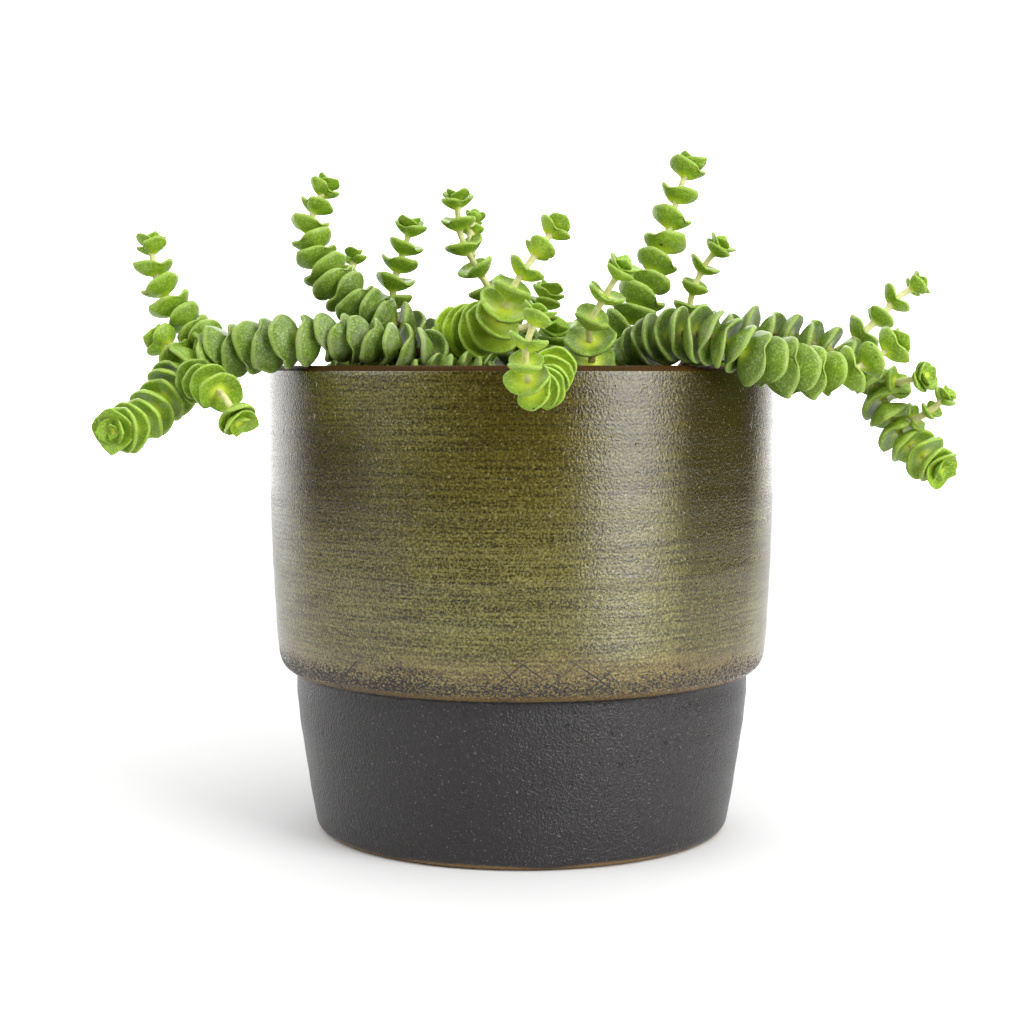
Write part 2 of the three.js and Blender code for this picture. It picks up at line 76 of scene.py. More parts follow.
# The photographed frame: its width, the focal length and how far above its middle the rim line
# lies, all in pixels
FRAME_PIXELS = 1024
FOCAL_PIXELS = 1950
RIM_PIXELS = 146.5

# Outlines that are turned round the axis start this far from it, and a fan closes the middle
POT_MIDDLE = 6 * MM
SOIL_MIDDLE = 20 * MM

# The pot's wall as radius and height, with the start of the body counted from the step
FOOT_WALL = ((57.3 * MM, 1.6 * MM), (58.6 * MM, 8.5 * MM), (61.8 * MM, 30 * MM))
FOOT_TOP = 38 * MM
BODY_START = ((64.8 * MM, 0), (66.4 * MM, 1.5 * MM), (67.3 * MM, 4 * MM), (67.9 * MM, 9 * MM))
BODY_WALL = ((68.9 * MM, 75 * MM), (69.5 * MM, 97 * MM))
INSIDE_WALL = ((62.8 * MM, 100 * MM), (61.4 * MM, 54 * MM), (56.2 * MM, 41.6 * MM),
               (52.5 * MM, 13 * MM))
INSIDE_FLOOR = 49 * MM

# How the outline is rounded and split, and where the thrown wall wavers
EDGE_ROUND = 1.2 * MM
ROUND_SHARE = 0.4
LONGEST_STRETCH = 2.6 * MM
THROWING_RINGS = 1.45 * MM
WOBBLE_START = 6 * MM

# The pot's finishes, in the order of its materials
GLAZE, CLAY, INSIDE, RIM = range(4)

# Patches of the glaze as turns in radians from its front to its right: painted shade, a burnt patch,
# a painted highlight, scratches
PAINTED_SHADE_TURN = 0.84
BURNT_TURN = -0.78
PAINTED_HIGHLIGHT_TURN = -0.52
SCRATCH_TURN = 0.2

# Heights between which each patch of the glaze fades in or out
PAINTED_SHADE_RISE = (62 * MM, 98 * MM)
BURNT_RISE = (78 * MM, 94 * MM)
BURNT_TOP = (120 * MM, 108 * MM)
PAINTED_HIGHLIGHT_RISE = (98 * MM, 114 * MM)
SCRATCH_TOP = (59 * MM, 53 * MM)

# Where the ragged top of the worn band lies above the step, how deep the band is, and the
# heights between which the glaze's lip above the step and the edge of the base are rubbed
WORN_TOP = (6 * MM, 11 * MM)
WORN_DEPTH = 7 * MM
WORN_LIP = (1.8 * MM, 0.8 * MM)
WORN_BASE = (1.9 * MM, 0.9 * MM)
BASE_PLAY = 0.8 * MM

# The scratches at the step: slope and distance apart of each set of lines, and the radius of the
# wall that they lie on, in millimetres
SCRATCHES = ((0.62, 4.1), (1.05, 7.3), (-0.85, 5.3), (-0.5, 8.9))
SCRATCH_RADIUS = 68.0

# The soil leaves this play to the pot and climbs a little at its wall
SOIL_PLAY = 0.4 * MM
SOIL_CLIMB = 1.2 * MM
SOIL_SIDES = 120
SOIL_ROWS = 44

# Rings of a crumb from below: reach and rise as shares of its size
CRUMB_RINGS = ((0.5, -0.7), (1.0, -0.1), (0.8, 0.5), (0.3, 0.8))
CRUMB_SIDES = 7

# Colours that shade the main ones, as shaders use them
LEAF_SHADE = (0.012, 0.05, 0.006)
LEAF_BLOOM = (0.3, 0.33, 0.2)
LEAF_SCAR = (0.09, 0.04, 0.015)
CLAY_SHADE = (0.02, 0.018, 0.018)
CLAY_GRAIN = (0.26, 0.25, 0.24)
CLAY_PITS = (0.012, 0.011, 0.012)
SOIL_SHADE = (0.006, 0.004, 0.003)
SOIL_GRIT = (0.2, 0.15, 0.1)

# Softboxes: name, the setting of the power, place, size and the place that each faces
MIDDLE_OF_POT = (0, 0, 0.08)
FLOOR_BEHIND = (0, 1.3, 0)
SOFTBOXES = (
    ("Key Light", "key_power", (0.64, -0.62, 0.42), (0.56, 1.15), MIDDLE_OF_POT),
    ("Front Light", "front_power", (0.05, -0.5, 0.8), (0.6, 0.4), MIDDLE_OF_POT),
    ("Fill Light", "fill_power", (-0.78, -0.3, 0.5), (0.7, 0.6), MIDDLE_OF_POT),
    ("Back Light", "back_power", (0, 1.5, 0.9), (1.6, 0.5), FLOOR_BEHIND),
)

# The even light's way and spread, the slant of the white wall behind, the floor's drop under the
# base, and the width of the camera's sensor in millimetres
SUN_WAY = (-0.45, -0.2, -1)
SUN_SPREAD = math.radians(60)
WALL_SLANT = -0.17
FLOOR_DROP = 0.05 * MM
SENSOR_WIDTH = 36

# How leaf pairs are laid along a stem, with lengths in millimetres and angles in degrees
STEPS_PER_POINT = 10
LEAF_THICKNESS = 0.28
LEAF_FILL = 0.86
SIZE_PLAY = 0.05
ROLL_PLAY = 9
TILT_PLAY = 5
LIFT_OPEN = 0.27
LIFT_CURVE = 1.6
FIRST_PAIR_ROOM = 10

# How the two leaves of a pair differ, and the waves and folds of their skin. A wave of the margin
# has a height, a number round the pair and the count of its draw.
TAPER_PLAY = 0.1
LENGTH_PLAY = 0.08
SHOULDER_PLAY = 0.07
LIFT_PLAY = 0.05
THICKNESS_PLAY = 0.1
MARGIN_WAVES = ((0.02, 3, 14), (0.018, 5, 15))
RIPPLE = 0.025
KEEL = 0.22
CREASE = 0.1

# The closing pairs of a tip: share of the last pair's size, step up, lift of the tips and thickness.
# The last is the bud of a strong stem, and only drawn here.
TIP_PAIRS = (
    (0.90, 0.10, 0.48, 0.18),
    (0.60, 0.05, 0.70, 0.18),
    (0.30, 0.03, 0.80, 0.12),
)
BUD_FROM_SIZE = 12

# Rings of a leaf pair from under the stem, round the margin and back to the stem on top:
# reach from the middle, and depth below the top as a share of the thickness
PAD_UNDER = ((0.08, 1.06), (0.16, 1.0), (0.27, 0.97), (0.4, 0.92), (0.54, 0.85), (0.67, 0.75),
             (0.78, 0.64), (0.87, 0.53), (0.94, 0.43), (0.98, 0.33))
PAD_TOP = ((1.0, 0.22), (0.988, 0.12), (0.965, 0.045), (0.93, 0.01), (0.86, 0.02), (0.75, 0.06),
           (0.62, 0.1), (0.49, 0.13), (0.36, 0.15), (0.24, 0.15), (0.15, 0.1), (0.09, 0.0))
PAD_SIDES = 48
BUD_SIDES = 28
SMALL_PAIR = 7.0
SMALL_LEAF = 12.0
SMALL_LEAF_RANGE = 4.0

# What differs between the kinds of leaf: how young their stems start, how much pale bloom they
# carry and how far from the stem their yellow green reaches, partly own colour, partly painted glow
LEAF_KINDS = {"leaf_old": (0.0, 0.5, 0.6), "leaf_mid": (0.35, 0.15, 0.7),
              "leaf_young": (0.6, 0.0, 0.95)}

# Side shoots start younger, in their leaves and in their stems, and leaves in low light stay dull
SHOOT_YOUTH = 0.7
STEM_YOUTH = 0.08
SHOOT_STEM_YOUTH = 0.75
LOW_LIGHT = 0.45

# The tube of a stem and its swelling at each leaf pair, with lengths in millimetres
STEM_SIDES = 10
STEM_STEP = 1.3
STEM_SWELL = 0.5
SWELL_REACH = 0.9

# Each stem: name, slot, seed, route from the root, run of the first pair, sizes, gaps, first roll
# and its side shoots as (seed, route, bare, sizes, gaps, roll)
STEMS = (
    ("stem_left_trailer", "leaf_old", 1,
     [(-16, -32, 109), (-17, -34, 119), (-21, -42, 129.5), (-27.5, -47, 131.5), (-38, -47, 134),
      (-48.5, -43, 135.2), (-61.5, -41, 133.8), (-74.5, -35, 132), (-82, -33, 130.5),
      (-87.5, -34, 127), (-91, -38, 121), (-97.5, -50, 113.2), (-100.5, -58, 112)],
     28, [12.5, 13, 13.5, 13.5, 14.5, 16, 16.5, 16, 15, 14],
     [4, 4, 4, 4, 5.5, 5.2, 4.6, 4.4, 5.2, 5.8], 90,
     [(2, [(-79, -33.5, 131), (-83.5, -26, 135), (-88, -23, 138), (-91.5, -21.5, 141.5),
           (-94, -20.5, 145), (-97, -19.5, 150), (-98.5, -18.5, 155.5), (-99, -17.5, 160)],
       5, [12, 12, 12.5, 13, 13.5, 12, 9.5], [4.4, 4.8, 5.2, 5.6, 5.6, 5.6], 40),
      (30, [(-86, -33, 129), (-91, -29.5, 131), (-95, -27, 134.5)], 6, [10, 11, 11], [5], 70),
      (3, [(-88.5, -35, 125.5), (-83.5, -42, 124), (-78, -50, 122.5), (-74, -55.5, 119.5),
           (-71, -58.5, 115)],
       7.5, [12.5, 12.5, 12.5, 12, 11.5], [3, 3, 5.5, 12, 12], 0)]),
    ("stem_left_riser", "leaf_old", 4,
     [(-14, -13, 109), (-15, -14, 120), (-22, -20, 132), (-32.5, -27, 138.5), (-39.5, -27, 141.5),
      (-45, -25, 145.5), (-53, -21, 154), (-56.5, -18, 163.5), (-56, -17, 168), (-53, -15, 175.5)],
     28, [11, 12, 13, 14.5, 14.5, 14.5, 12.5, 10], [4.3, 4.3, 4.3, 4.3, 4.3, 4.5, 5, 5.4], 90,
     [(5, [(-48, -23, 148), (-47.5, -15, 150), (-46, -12, 153.5), (-45.5, -11, 157)],
       11, [8, 8.5, 8.5, 7.5], [4, 4], 0)]),
    ("stem_thin_left", "leaf_mid", 6,
     [(-30, -6, 109), (-32, -8, 120), (-35, -10, 140.5), (-34.5, -10, 151), (-31.5, -9, 161),
      (-30.5, -9, 165.5)],
     33, [5.5, 6.5, 9, 11, 12.5, 10], [5, 5], 55, []),
    ("stem_middle_back", "leaf_mid", 7,
     [(4, -6, 109), (3, -7, 120), (-1.5, -8, 133.5), (-8.5, -10, 148), (-12, -11, 154),
      (-16.5, -12, 163), (-17.5, -13, 172.5)],
     32, [12, 12.5, 13, 13, 12.5, 12, 10], [4.2, 4.2, 4.5, 6.5, 6.8, 4.8], 40,
     [(8, [(-13.5, -11.2, 157.5), (-14, -7, 163), (-13, -4, 168)], 9.6, [7, 7], [3], 0)]),
    ("stem_front_fan", "leaf_young", 9,
     [(-19, -27, 109), (-19, -28, 120), (-18.5, -31, 131), (-17, -34.5, 136), (-13, -40.5, 136.8),
      (-8, -48, 137.5), (-4.5, -54, 142), (-2.5, -56, 147), (1, -56, 152.5), (5, -54.5, 158),
      (8, -53, 162)],
     26, [15.5, 16.5, 17, 17, 16, 14.5, 10.5, 10], [3.8, 3.8, 3.8, 4, 5, 6.5, 6.5], 90,
     [(10, [(-8, -48, 137.5), (0, -44, 137.5), (4, -43, 140.5), (5.5, -43, 143.5),
            (6.5, -43, 146.5)], 15.5, [9.5, 9.5], [3], 0)]),
    ("stem_over_rim", "leaf_young", 11,
     [(27, -34, 109), (26.5, -37, 120), (22, -50, 123.5), (15, -58, 126), (10.5, -63, 129.5),
      (9, -68, 130), (8, -73, 129.2), (7, -79, 126), (5, -84.5, 122.8), (2.6, -89.5, 122.3),
      (1, -94.3, 124.8),
      (0.4, -97.7, 129), (1, -98.4, 134), (3, -98, 139)],
     58, [12, 12, 12, 12, 12, 11.5, 11.5, 11, 9.5], [3.4, 3.4, 3.4, 3.4, 3.2, 3.8, 5.6, 6], 0, []),
    ("stem_front_right", "leaf_mid", 12,
     [(16, -38, 109), (16.5, -41, 120), (17.5, -49, 129.5), (16.8, -53, 134), (16.5, -56, 138),
      (18.5, -58, 142), (20.5, -59, 145.5), (24, -61, 151.5)],
     17, [15, 15.5, 15.5, 14, 11, 10], [5.8, 6.4, 6.4], 0, []),
    ("stem_tall", "leaf_mid", 13,
     [(14, -22, 109), (15, -23, 121), (20, -24, 131.5), (24, -27.5, 135), (28, -28, 140),
      (31, -27, 145), (34.5, -25, 152.5), (38, -22, 161), (40, -20, 168), (42, -19, 174.5),
      (44, -18, 180.5)],
     26, [13, 14.5, 15.5, 15.5, 15, 14, 13, 12, 11.5], [4.2, 4.2, 4.2, 4.2, 5, 6.6, 6.6, 6.4], 40,
     []),
    ("stem_thin_right", "leaf_mid", 14,
     [(45, 7, 109), (46, 6, 121), (47, 4, 139), (47, 4, 145), (48, 3, 149.5), (51, 2, 156),
      (54.5, 1, 160.5)],
     36, [7, 8, 9.5, 10.5, 10.5], [3.8, 5, 6, 6.4], 0, []),
    ("stem_right_front", "leaf_old", 15,
     [(22, -28, 109), (23, -30, 120), (27.5, -38, 130), (32, -44, 133.5), (40, -51, 135.8),
      (48, -55, 134.8), (56, -56, 131), (61, -54, 129), (66.5, -51, 127.5), (72, -47, 126.5),
      (78.5, -44, 126), (84.5, -42, 127), (90, -40.5, 129.5), (95.5, -39, 133)],
     26, [12, 12, 13, 15.5, 16, 16, 16, 15, 12.5, 11.5],
     [3.7, 3.7, 3.7, 3.7, 3.7, 4.6, 5.2, 6.6, 6.8], 90, []),
    ("stem_right_back", "leaf_old", 16,
     [(38, -4, 109), (40, -5, 121), (49, -7, 134), (58, -9, 136), (66, -12, 136.5),
      (73.5, -15, 135), (81.5, -18, 132.5), (87, -20, 130), (92.5, -22, 126), (95, -24, 121.5),
      (99, -28, 111.5), (102.5, -31, 106.5), (107.5, -38, 102)],
     27, [13, 14.5, 16, 16, 15.5, 14, 14.5, 14.5, 13], [4.8, 5.2, 5.6, 5.6, 5.4, 5.2, 5, 5.2], 90,
     [(17, [(84, -19, 131.5), (90, -17, 135.5), (97.5, -15, 142), (101, -14, 146),
            (106.5, -13, 149.5)], 9.5, [12, 12, 10.5, 10, 9], [6, 6], 0),
      (18, [(95, -23.5, 122), (98.5, -29, 123.5), (104, -35, 125)], 7, [10, 10.5, 9.5], [5.8], 30),
      (19, [(98.5, -27.5, 113), (101.5, -33, 113.5), (106.5, -37.5, 117), (109, -39, 120)],
       8, [7.5, 7.5, 7], [4.6], 0)]),
    ("stem_back_1", "leaf_old", 20,
     [(-20, 16, 109), (-22, 18, 120), (-33, 34, 132.5), (-41, 49, 136.5), (-47, 60, 134),
      (-50, 68, 125), (-52, 73, 114), (-52, 76, 102)],
     15, [11, 12, 14, 14.5, 14, 12], [5, 5.2, 5.4, 5.6], 90, []),
    ("stem_back_2", "leaf_mid", 21,
     [(-6, 20, 109), (-7, 22, 120), (-10, 38, 132), (-13, 55, 136.8), (-15, 68, 135),
      (-17, 77, 128), (-18, 81, 117), (-17, 83, 106)],
     15, [11, 12, 14, 14.5, 14, 12], [5, 5.2, 5.4, 5.6], 0, []),
    ("stem_back_3", "leaf_old", 22,
     [(12, 18, 109), (13, 20, 120), (17, 36, 131.5), (20, 52, 136.8), (22, 65, 135.6),
      (24, 75, 129), (26, 80, 119), (29, 82, 108), (33, 81, 99)],
     15, [11, 12, 14, 14.5, 14, 12], [5, 5.2, 5.4, 5.6], 90, []),
    ("stem_back_4", "leaf_mid", 23,
     [(26, 12, 109), (28, 14, 120), (38, 26, 131.5), (49, 38, 136.4), (58, 47, 134),
      (64, 54, 126), (67, 59, 115), (67, 62, 104)],
     15, [11, 12, 14, 14.5, 14, 11.5], [5, 5.2, 5.4, 5.6], 0, []),
    ("stem_inner_1", "leaf_old", 24,
     [(-44, -6, 109), (-45, -4, 119), (-46, 4, 124), (-44, 14, 125.5), (-40, 22, 125.5)],
     15, [9, 10, 11, 10], [4.4], 0, []),
    ("stem_inner_2", "leaf_mid", 25,
     [(-24, 1, 109), (-24, 2, 119), (-25, 3, 126), (-25, 4, 132)], 13, [10, 11, 12, 10], [4.2],
     30, []),
    ("stem_inner_3", "leaf_old", 26,
     [(9, -27, 109), (9, -29, 119), (9, -33, 127), (9, -36, 136)], 14, [11, 13, 14, 12.5],
     [4.2], 0, []),
    ("stem_inner_4", "leaf_mid", 27,
     [(31, -13, 109), (31, -13, 119), (33, -13, 126), (36, -14, 131)], 13, [10, 11, 11, 10],
     [4.2], 60, []),
    ("stem_inner_5", "leaf_mid", 28,
     [(-1, 4, 109), (-2, 5, 119), (-4, 7, 126), (-6, 8, 131)], 13, [10, 11, 12, 10], [4.2], 10,
     []),
    ("stem_inner_6", "leaf_old", 29,
     [(43, 19, 109), (44, 20, 119), (46, 21, 125), (49, 20, 129)], 12.5, [9, 10, 10, 9], [4], 0,
     []),
)

# Short shoots that creep over the soil between the stems, and are only drawn here
LOW_SHOOTS = (
    ("low_shoot_1", "leaf_mid", 41, [(-34, 18, 112), (-34, 19, 117), (-30, 27, 120), (-22, 33, 121)],
     6, [8, 10, 11, 9], [4], 20, []),
    ("low_shoot_2", "leaf_old", 42, [(2, 30, 112), (2, 31, 117), (4, 38, 120), (5, 47, 121)],
     6, [8, 10, 11, 9], [4], 0, []),
    ("low_shoot_3", "leaf_mid", 43, [(-14, 8, 112), (-15, 9, 117), (-19, 14, 120), (-20, 22, 121)],
     6, [8, 9, 10, 9], [4], 60, []),
    ("low_shoot_4", "leaf_young", 44, [(22, 4, 112), (22, 5, 117), (25, 11, 120), (28, 18, 121)],
     6, [8, 9, 10, 8], [4], 10, []),
    ("low_shoot_5", "leaf_old", 45, [(38, 36, 112), (38, 36, 117), (33, 41, 120), (27, 45, 121)],
     6, [8, 10, 10, 8], [4], 45, []),
    ("low_shoot_6", "leaf_mid", 46, [(-50, 4, 112), (-50, 5, 117), (-51, 12, 120), (-49, 20, 121)],
     6, [8, 9, 10, 8], [4], 0, []),
    ("low_shoot_8", "leaf_old", 48,
     [(-46, -24, 112), (-45, -25, 117), (-38, -31, 123.5), (-26, -38, 126.5), (-14, -42, 127.5)],
     8, [8, 9, 10, 9.5, 9], [4], 30, []),
    ("low_shoot_9", "leaf_old", 49,
     [(-45, -33, 112), (-44, -38, 117), (-35, -45, 124), (-24, -51, 126.5), (-10, -54, 127)],
     8, [9, 9.5, 10, 10, 9.5], [3.8], 40, []),
    ("low_shoot_10", "leaf_old", 50,
     [(-50, -16, 112), (-50, -20, 120), (-46, -30, 127), (-40, -37, 128.5), (-32, -41, 128.5)],
     9, [9.5, 11, 11, 10.5, 9.5], [3.8], 20, []),
    ("low_shoot_11", "leaf_mid", 51, [(2, -38, 112), (2, -40, 119), (3.5, -45, 125), (6, -48, 129.5)],
     9, [9, 11, 12.5, 11], [4], 45, []),
    ("low_shoot_12", "leaf_old", 52,
     [(-3, -24, 112), (-3, -25, 120), (-2, -27, 128), (-0.5, -29, 135)], 11, [11, 12, 13, 12], [4.2],
     60, []),
    ("low_shoot_7", "leaf_old", 47, [(-26, 42, 112), (-26, 43, 117), (-20, 48, 120), (-12, 51, 121)],
     6, [8, 9, 10, 8], [4], 30, []),
)


class PotSettings(bpy.types.PropertyGroup):
    """Sizes and colours of the stoneware pot."""

    rim_radius: FloatProperty(
        name="Rim Radius", description="Outer radius at the rim",
        default=(POT_HIGH.x - POT_LOW.x) / 2, unit="LENGTH")
    height: FloatProperty(
        name="Height", description="From the flat base to the rim", default=POT_HIGH.z,
        unit="LENGTH")
    step_height: FloatProperty(
        name="Step Height", description="Where the foot ends and the wide body starts",
        default=44.9 * MM, unit="LENGTH")
    foot_radius: FloatProperty(
        name="Foot Radius", description="Outer radius of the foot under the step",
        default=62.6 * MM, unit="LENGTH")
    base_radius: FloatProperty(
        name="Base Radius", description="Radius of the flat base", default=55.6 * MM,
        unit="LENGTH")
    wall: FloatProperty(
        name="Wall", description="Thickness of the wall at the rim", default=6.5 * MM,
        unit="LENGTH")
    floor: FloatProperty(
        name="Floor", description="Thickness of the floor", default=9 * MM, unit="LENGTH")
    sides: IntProperty(
        name="Sides", description="Facets round the pot", default=176, min=24)
    wobble: FloatProperty(
        name="Wobble", description="How far the hand-thrown wall strays from round",
        default=0.22 * MM, unit="LENGTH")
    glaze_top: FloatVectorProperty(
        name="Glaze Top", description="Brown olive of the glaze under the rim", subtype="COLOR",
        default=linear(90, 81, 23))
    # Greener olive lower down: partly the glaze's own colour, partly painted light from the bright
    # floor
    glaze_low_and_painted_light: FloatVectorProperty(
        name="Glaze Low", description="Greener olive of the glaze above the step",
        subtype="COLOR", default=linear(128, 122, 66))
    # The dark of the glaze's mottling, also used for the painted shade at its right
    glaze_dark: FloatVectorProperty(
        name="Glaze Dark", description="Dark mottling in the glaze", subtype="COLOR",
        default=linear(42, 35, 5))
    # Painted glints: pale dots in the glaze's colour that stand in for light glinting on its grains
    painted_glint: FloatVectorProperty(
        name="Spark", description="Bright glints of the grains in the glaze", subtype="COLOR",
        default=linear(196, 186, 138))
    worn_tan: FloatVectorProperty(
        name="Worn Tan", description="Thin glaze rubbed to tan at the step", subtype="COLOR",
        default=linear(146, 110, 54))
    scorch: FloatVectorProperty(
        name="Scorch", description="Purple charcoal specks and scratches at the step",
        subtype="COLOR", default=linear(16, 10, 12))
    clay: FloatVectorProperty(
        name="Clay", description="Charcoal clay of the bare foot", subtype="COLOR",
        default=linear(27, 23, 23))
    rim_brown: FloatVectorProperty(
        name="Rim Brown", description="Bare brown line on the rim", subtype="COLOR",
        default=linear(64, 38, 8))


class LeafSettings(bpy.types.PropertyGroup):
    """Form and colours of the leaf pairs and their stems."""

    width: FloatProperty(
        name="Width", description="Width of a pair as a share of its length", default=0.84,
        subtype="FACTOR")
    taper: FloatProperty(
        name="Taper", description="How far the leaves narrow to a point; 0.5 is an ellipse",
        default=0.76)
    old_taper: FloatProperty(
        name="Old Taper", description="The taper of the oldest leaves", default=0.68)
    tip_taper: FloatProperty(
        name="Tip Taper", description="The taper of the rosette that ends a strong stem",
        default=0.98)
    round_taper: FloatProperty(
        name="Round Taper", description="The taper of the smallest, rounder leaves", default=0.6)
    shoulder: FloatProperty(
        name="Shoulder", description="Fullness of a leaf on the way to its tip", default=0.24,
        subtype="FACTOR")
    notch: FloatProperty(
        name="Notch", description="Depth of the notch where the two leaves meet", default=0.07,
        subtype="FACTOR")
    waist: FloatProperty(
        name="Waist", description="Extra depth of the notch in the smallest pairs", default=0.5,
        subtype="FACTOR")
    notch_spread: FloatProperty(
        name="Notch Spread", description="How wide the notch opens", default=0.24,
        subtype="FACTOR")
    plump: FloatProperty(
        name="Plump", description="Extra thickness of the oldest leaves", default=0.25)
    cup: FloatProperty(
        name="Cup", description="How far the side margins curl up", default=0.16,
        subtype="FACTOR")
    stem_base: FloatProperty(
        name="Stem Base", description="Radius of a stem at its root", default=1.1 * MM,
        unit="LENGTH")
    stem_tip: FloatProperty(
        name="Stem Tip", description="Radius of a stem at its tip", default=0.75 * MM,
        unit="LENGTH")
    green_old: FloatVectorProperty(
        name="Green Old", description="Grey green of the oldest leaves", subtype="COLOR",
        default=linear(104, 130, 50))
    green_mid: FloatVectorProperty(
        name="Green Mid", description="Mid green of grown leaves", subtype="COLOR",
        default=linear(112, 140, 56))
    green_young: FloatVectorProperty(
        name="Green Young", description="Yellow green of new leaves", subtype="COLOR",
        default=linear(144, 178, 48))
    # The front stems' own young green, made brighter still as painted light to make up for the shade
    # they lie in
    front_green_and_painted_light: FloatVectorProperty(
        name="Green Front", description="Bright green of the soft stems at the front",
        subtype="COLOR", default=linear(190, 222, 50))
    # Yellow green round the stem: partly the leaves' own colour, partly a painted glow of light
    # through them
    yellow_and_painted_glow: FloatVectorProperty(
        name="Glow", description="Yellow green round the stem", subtype="COLOR",
        default=linear(206, 224, 70))
    margin: FloatVectorProperty(
        name="Margin", description="Pale line along the margin", subtype="COLOR",
        default=linear(174, 196, 104))
    stem_young: FloatVectorProperty(
        name="Stem Young", description="Cream of the young stems", subtype="COLOR",
        default=linear(214, 214, 148))
    stem_old: FloatVectorProperty(
        name="Stem Old", description="Brown of the old stems", subtype="COLOR",
        default=linear(104, 70, 52))


class SoilSettings(bpy.types.PropertyGroup):
    """The potting soil under the stems."""

    top: FloatProperty(
        name="Top", description="Height of the soil's surface", default=116 * MM, unit="LENGTH")
    lumps: FloatProperty(
        name="Lumps", description="Height of the unevenness", default=0.9 * MM, unit="LENGTH")
    crumbs: IntProperty(
        name="Crumbs", description="Number of loose crumbs on the surface", default=520, min=0)
    colour: FloatVectorProperty(
        name="Colour", description="Dark brown of damp soil", subtype="COLOR",
        default=linear(48, 36, 26))


class StageSettings(bpy.types.PropertyGroup):
    """The camera, the floor and the lights."""

    focal_pixels: FloatProperty(
        name="Focal Pixels", description="Focal length in pixels of a frame 1024 wide",
        default=FOCAL_PIXELS)
    distance: FloatProperty(
        name="Distance", description="From the camera to the pot's axis", default=542.9 * MM,
        unit="LENGTH")
    sideways: FloatProperty(
        name="Sideways", description="Camera's place to the right of the pot's axis",
        default=-2.67 * MM, unit="LENGTH")
    camera_height: FloatProperty(
        name="Camera Height", description="Height of the camera, level with the rim",
        default=128 * MM, unit="LENGTH")
    pitch: FloatProperty(
        name="Pitch", description="How far the camera looks down",
        default=math.atan(RIM_PIXELS / FOCAL_PIXELS), unit="ROTATION")
    floor_front: FloatProperty(
        name="Floor Front", description="How far the floor reaches in front of the pot",
        default=0.32, unit="LENGTH")
    floor_side: FloatProperty(
        name="Floor Side", description="How far the floor reaches to each side", default=0.6,
        unit="LENGTH")
    floor_back: FloatProperty(
        name="Floor Back", description="How far the floor reaches behind the pot", default=1.4,
        unit="LENGTH")
    floor_colour: FloatVectorProperty(
        name="Floor Colour", description="Pale studio floor", subtype="COLOR",
        default=(0.7, 0.7, 0.7))
    key_power: FloatProperty(
        name="Key Power", description="Power of the softbox at the right", default=12.0)
    fill_power: FloatProperty(
        name="Fill Power", description="Power of the softbox at the left", default=4.0)
    front_power: FloatProperty(
        name="Front Power", description="Power of the softbox above the camera", default=1.3)
    back_power: FloatProperty(
        name="Back Power", description="Power of the softbox over the floor behind", default=4.0)
    sun_strength: FloatProperty(
        name="Sun Strength", description="Even light from above and the right", default=0.95)
    surround: FloatProperty(
        name="Surround", description="Light from the white wall behind", default=2.4)
    dome: FloatProperty(
        name="Dome", description="Light from the ceiling", default=0.88)
    room: FloatProperty(
        name="Room", description="Light from the dark sides of the room", default=0.06)


def draw(seed, count):
    """One number from 0 to 1 for each seed and count, the same each time."""
    wave = math.sin(seed * SEED_TURN + count * COUNT_TURN) * WAVE_HEIGHT
    return wave - math.floor(wave)


def play(seed, count):
    """A draw from -1 to 1."""
    return 2 * draw(seed, count) - 1


def ramp(values, share):
    """The value at a share of the way along evenly spread values."""
    place = min(max(share, 0), 1) * (len(values) - 1)
    first = min(math.floor(place), max(len(values) - 2, 0))
    last = min(first + 1, len(values) - 1)
    return values[first] + (values[last] - values[first]) * (place - first)


def curve_point(route, place):
    """A point of the smooth curve through a route, with place counted in route points."""
    first = min(int(place), len(route) - 2)
    share = place - first
    b, c = route[first], route[first + 1]
    a = route[first - 1] if first > 0 else 2 * b - c
    d = route[first + 2] if first + 2 < len(route) else 2 * c - b
    start, end = (c - a) / 2, (d - b) / 2
    squared = -3 * b + 3 * c - 2 * start - end
    cubed = 2 * b - 2 * c + start + end
    return b + start * share + squared * share ** 2 + cubed * share ** 3


class Walk:
    """A route walked in small steps, with a sideways direction carried along without twist."""

    def __init__(self, route):
        points = [np.array(place, float) for place in route]
        count = STEPS_PER_POINT * (len(points) - 1)
        self.points = np.array([curve_point(points, i / STEPS_PER_POINT) for i in range(count + 1)])
        steps = np.linalg.norm(np.diff(self.points, axis=0), axis=1)
        self.runs = np.concatenate([[0], np.cumsum(steps)])
        self.length = self.runs[-1]
        self.alongs = []
        self.sides = []
        side = None
        for i in range(count + 1):
            along = unit(self.points[min(i + 1, count)] - self.points[max(i - 1, 0)])
            if side is None:
                side = np.array((1.0, 0, 0) if abs(along[1]) > 0.9 else (0, 1.0, 0))
            side = unit(side - along * side.dot(along))
            self.alongs.append(along)
            self.sides.append(side)

    def at(self, run):
        """The place and directions at a distance along the route, and straight on past its end."""
        i = int(np.clip(np.searchsorted(self.runs, run), 1, len(self.runs) - 1))
        share = np.clip((run - self.runs[i - 1]) / (self.runs[i] - self.runs[i - 1]), 0, 1)
        point = self.points[i - 1] * (1 - share) + self.points[i] * share
        along = unit(self.alongs[i - 1] * (1 - share) + self.alongs[i] * share)
        side = self.sides[i - 1] * (1 - share) + self.sides[i] * share
        side = unit(side - along * side.dot(along))
        return point + along * max(run - self.length, 0), along, side


def unit(vector):
    """The vector shortened or stretched to a length of one."""
    return vector / np.linalg.norm(vector)


def turned(vector, axis, degrees):
    """A vector turned about an axis."""
    angle = math.radians(degrees)
    across = np.cross(axis, vector)
    return (vector * math.cos(angle) + across * math.sin(angle)
            + axis * axis.dot(vector) * (1 - math.cos(angle)))


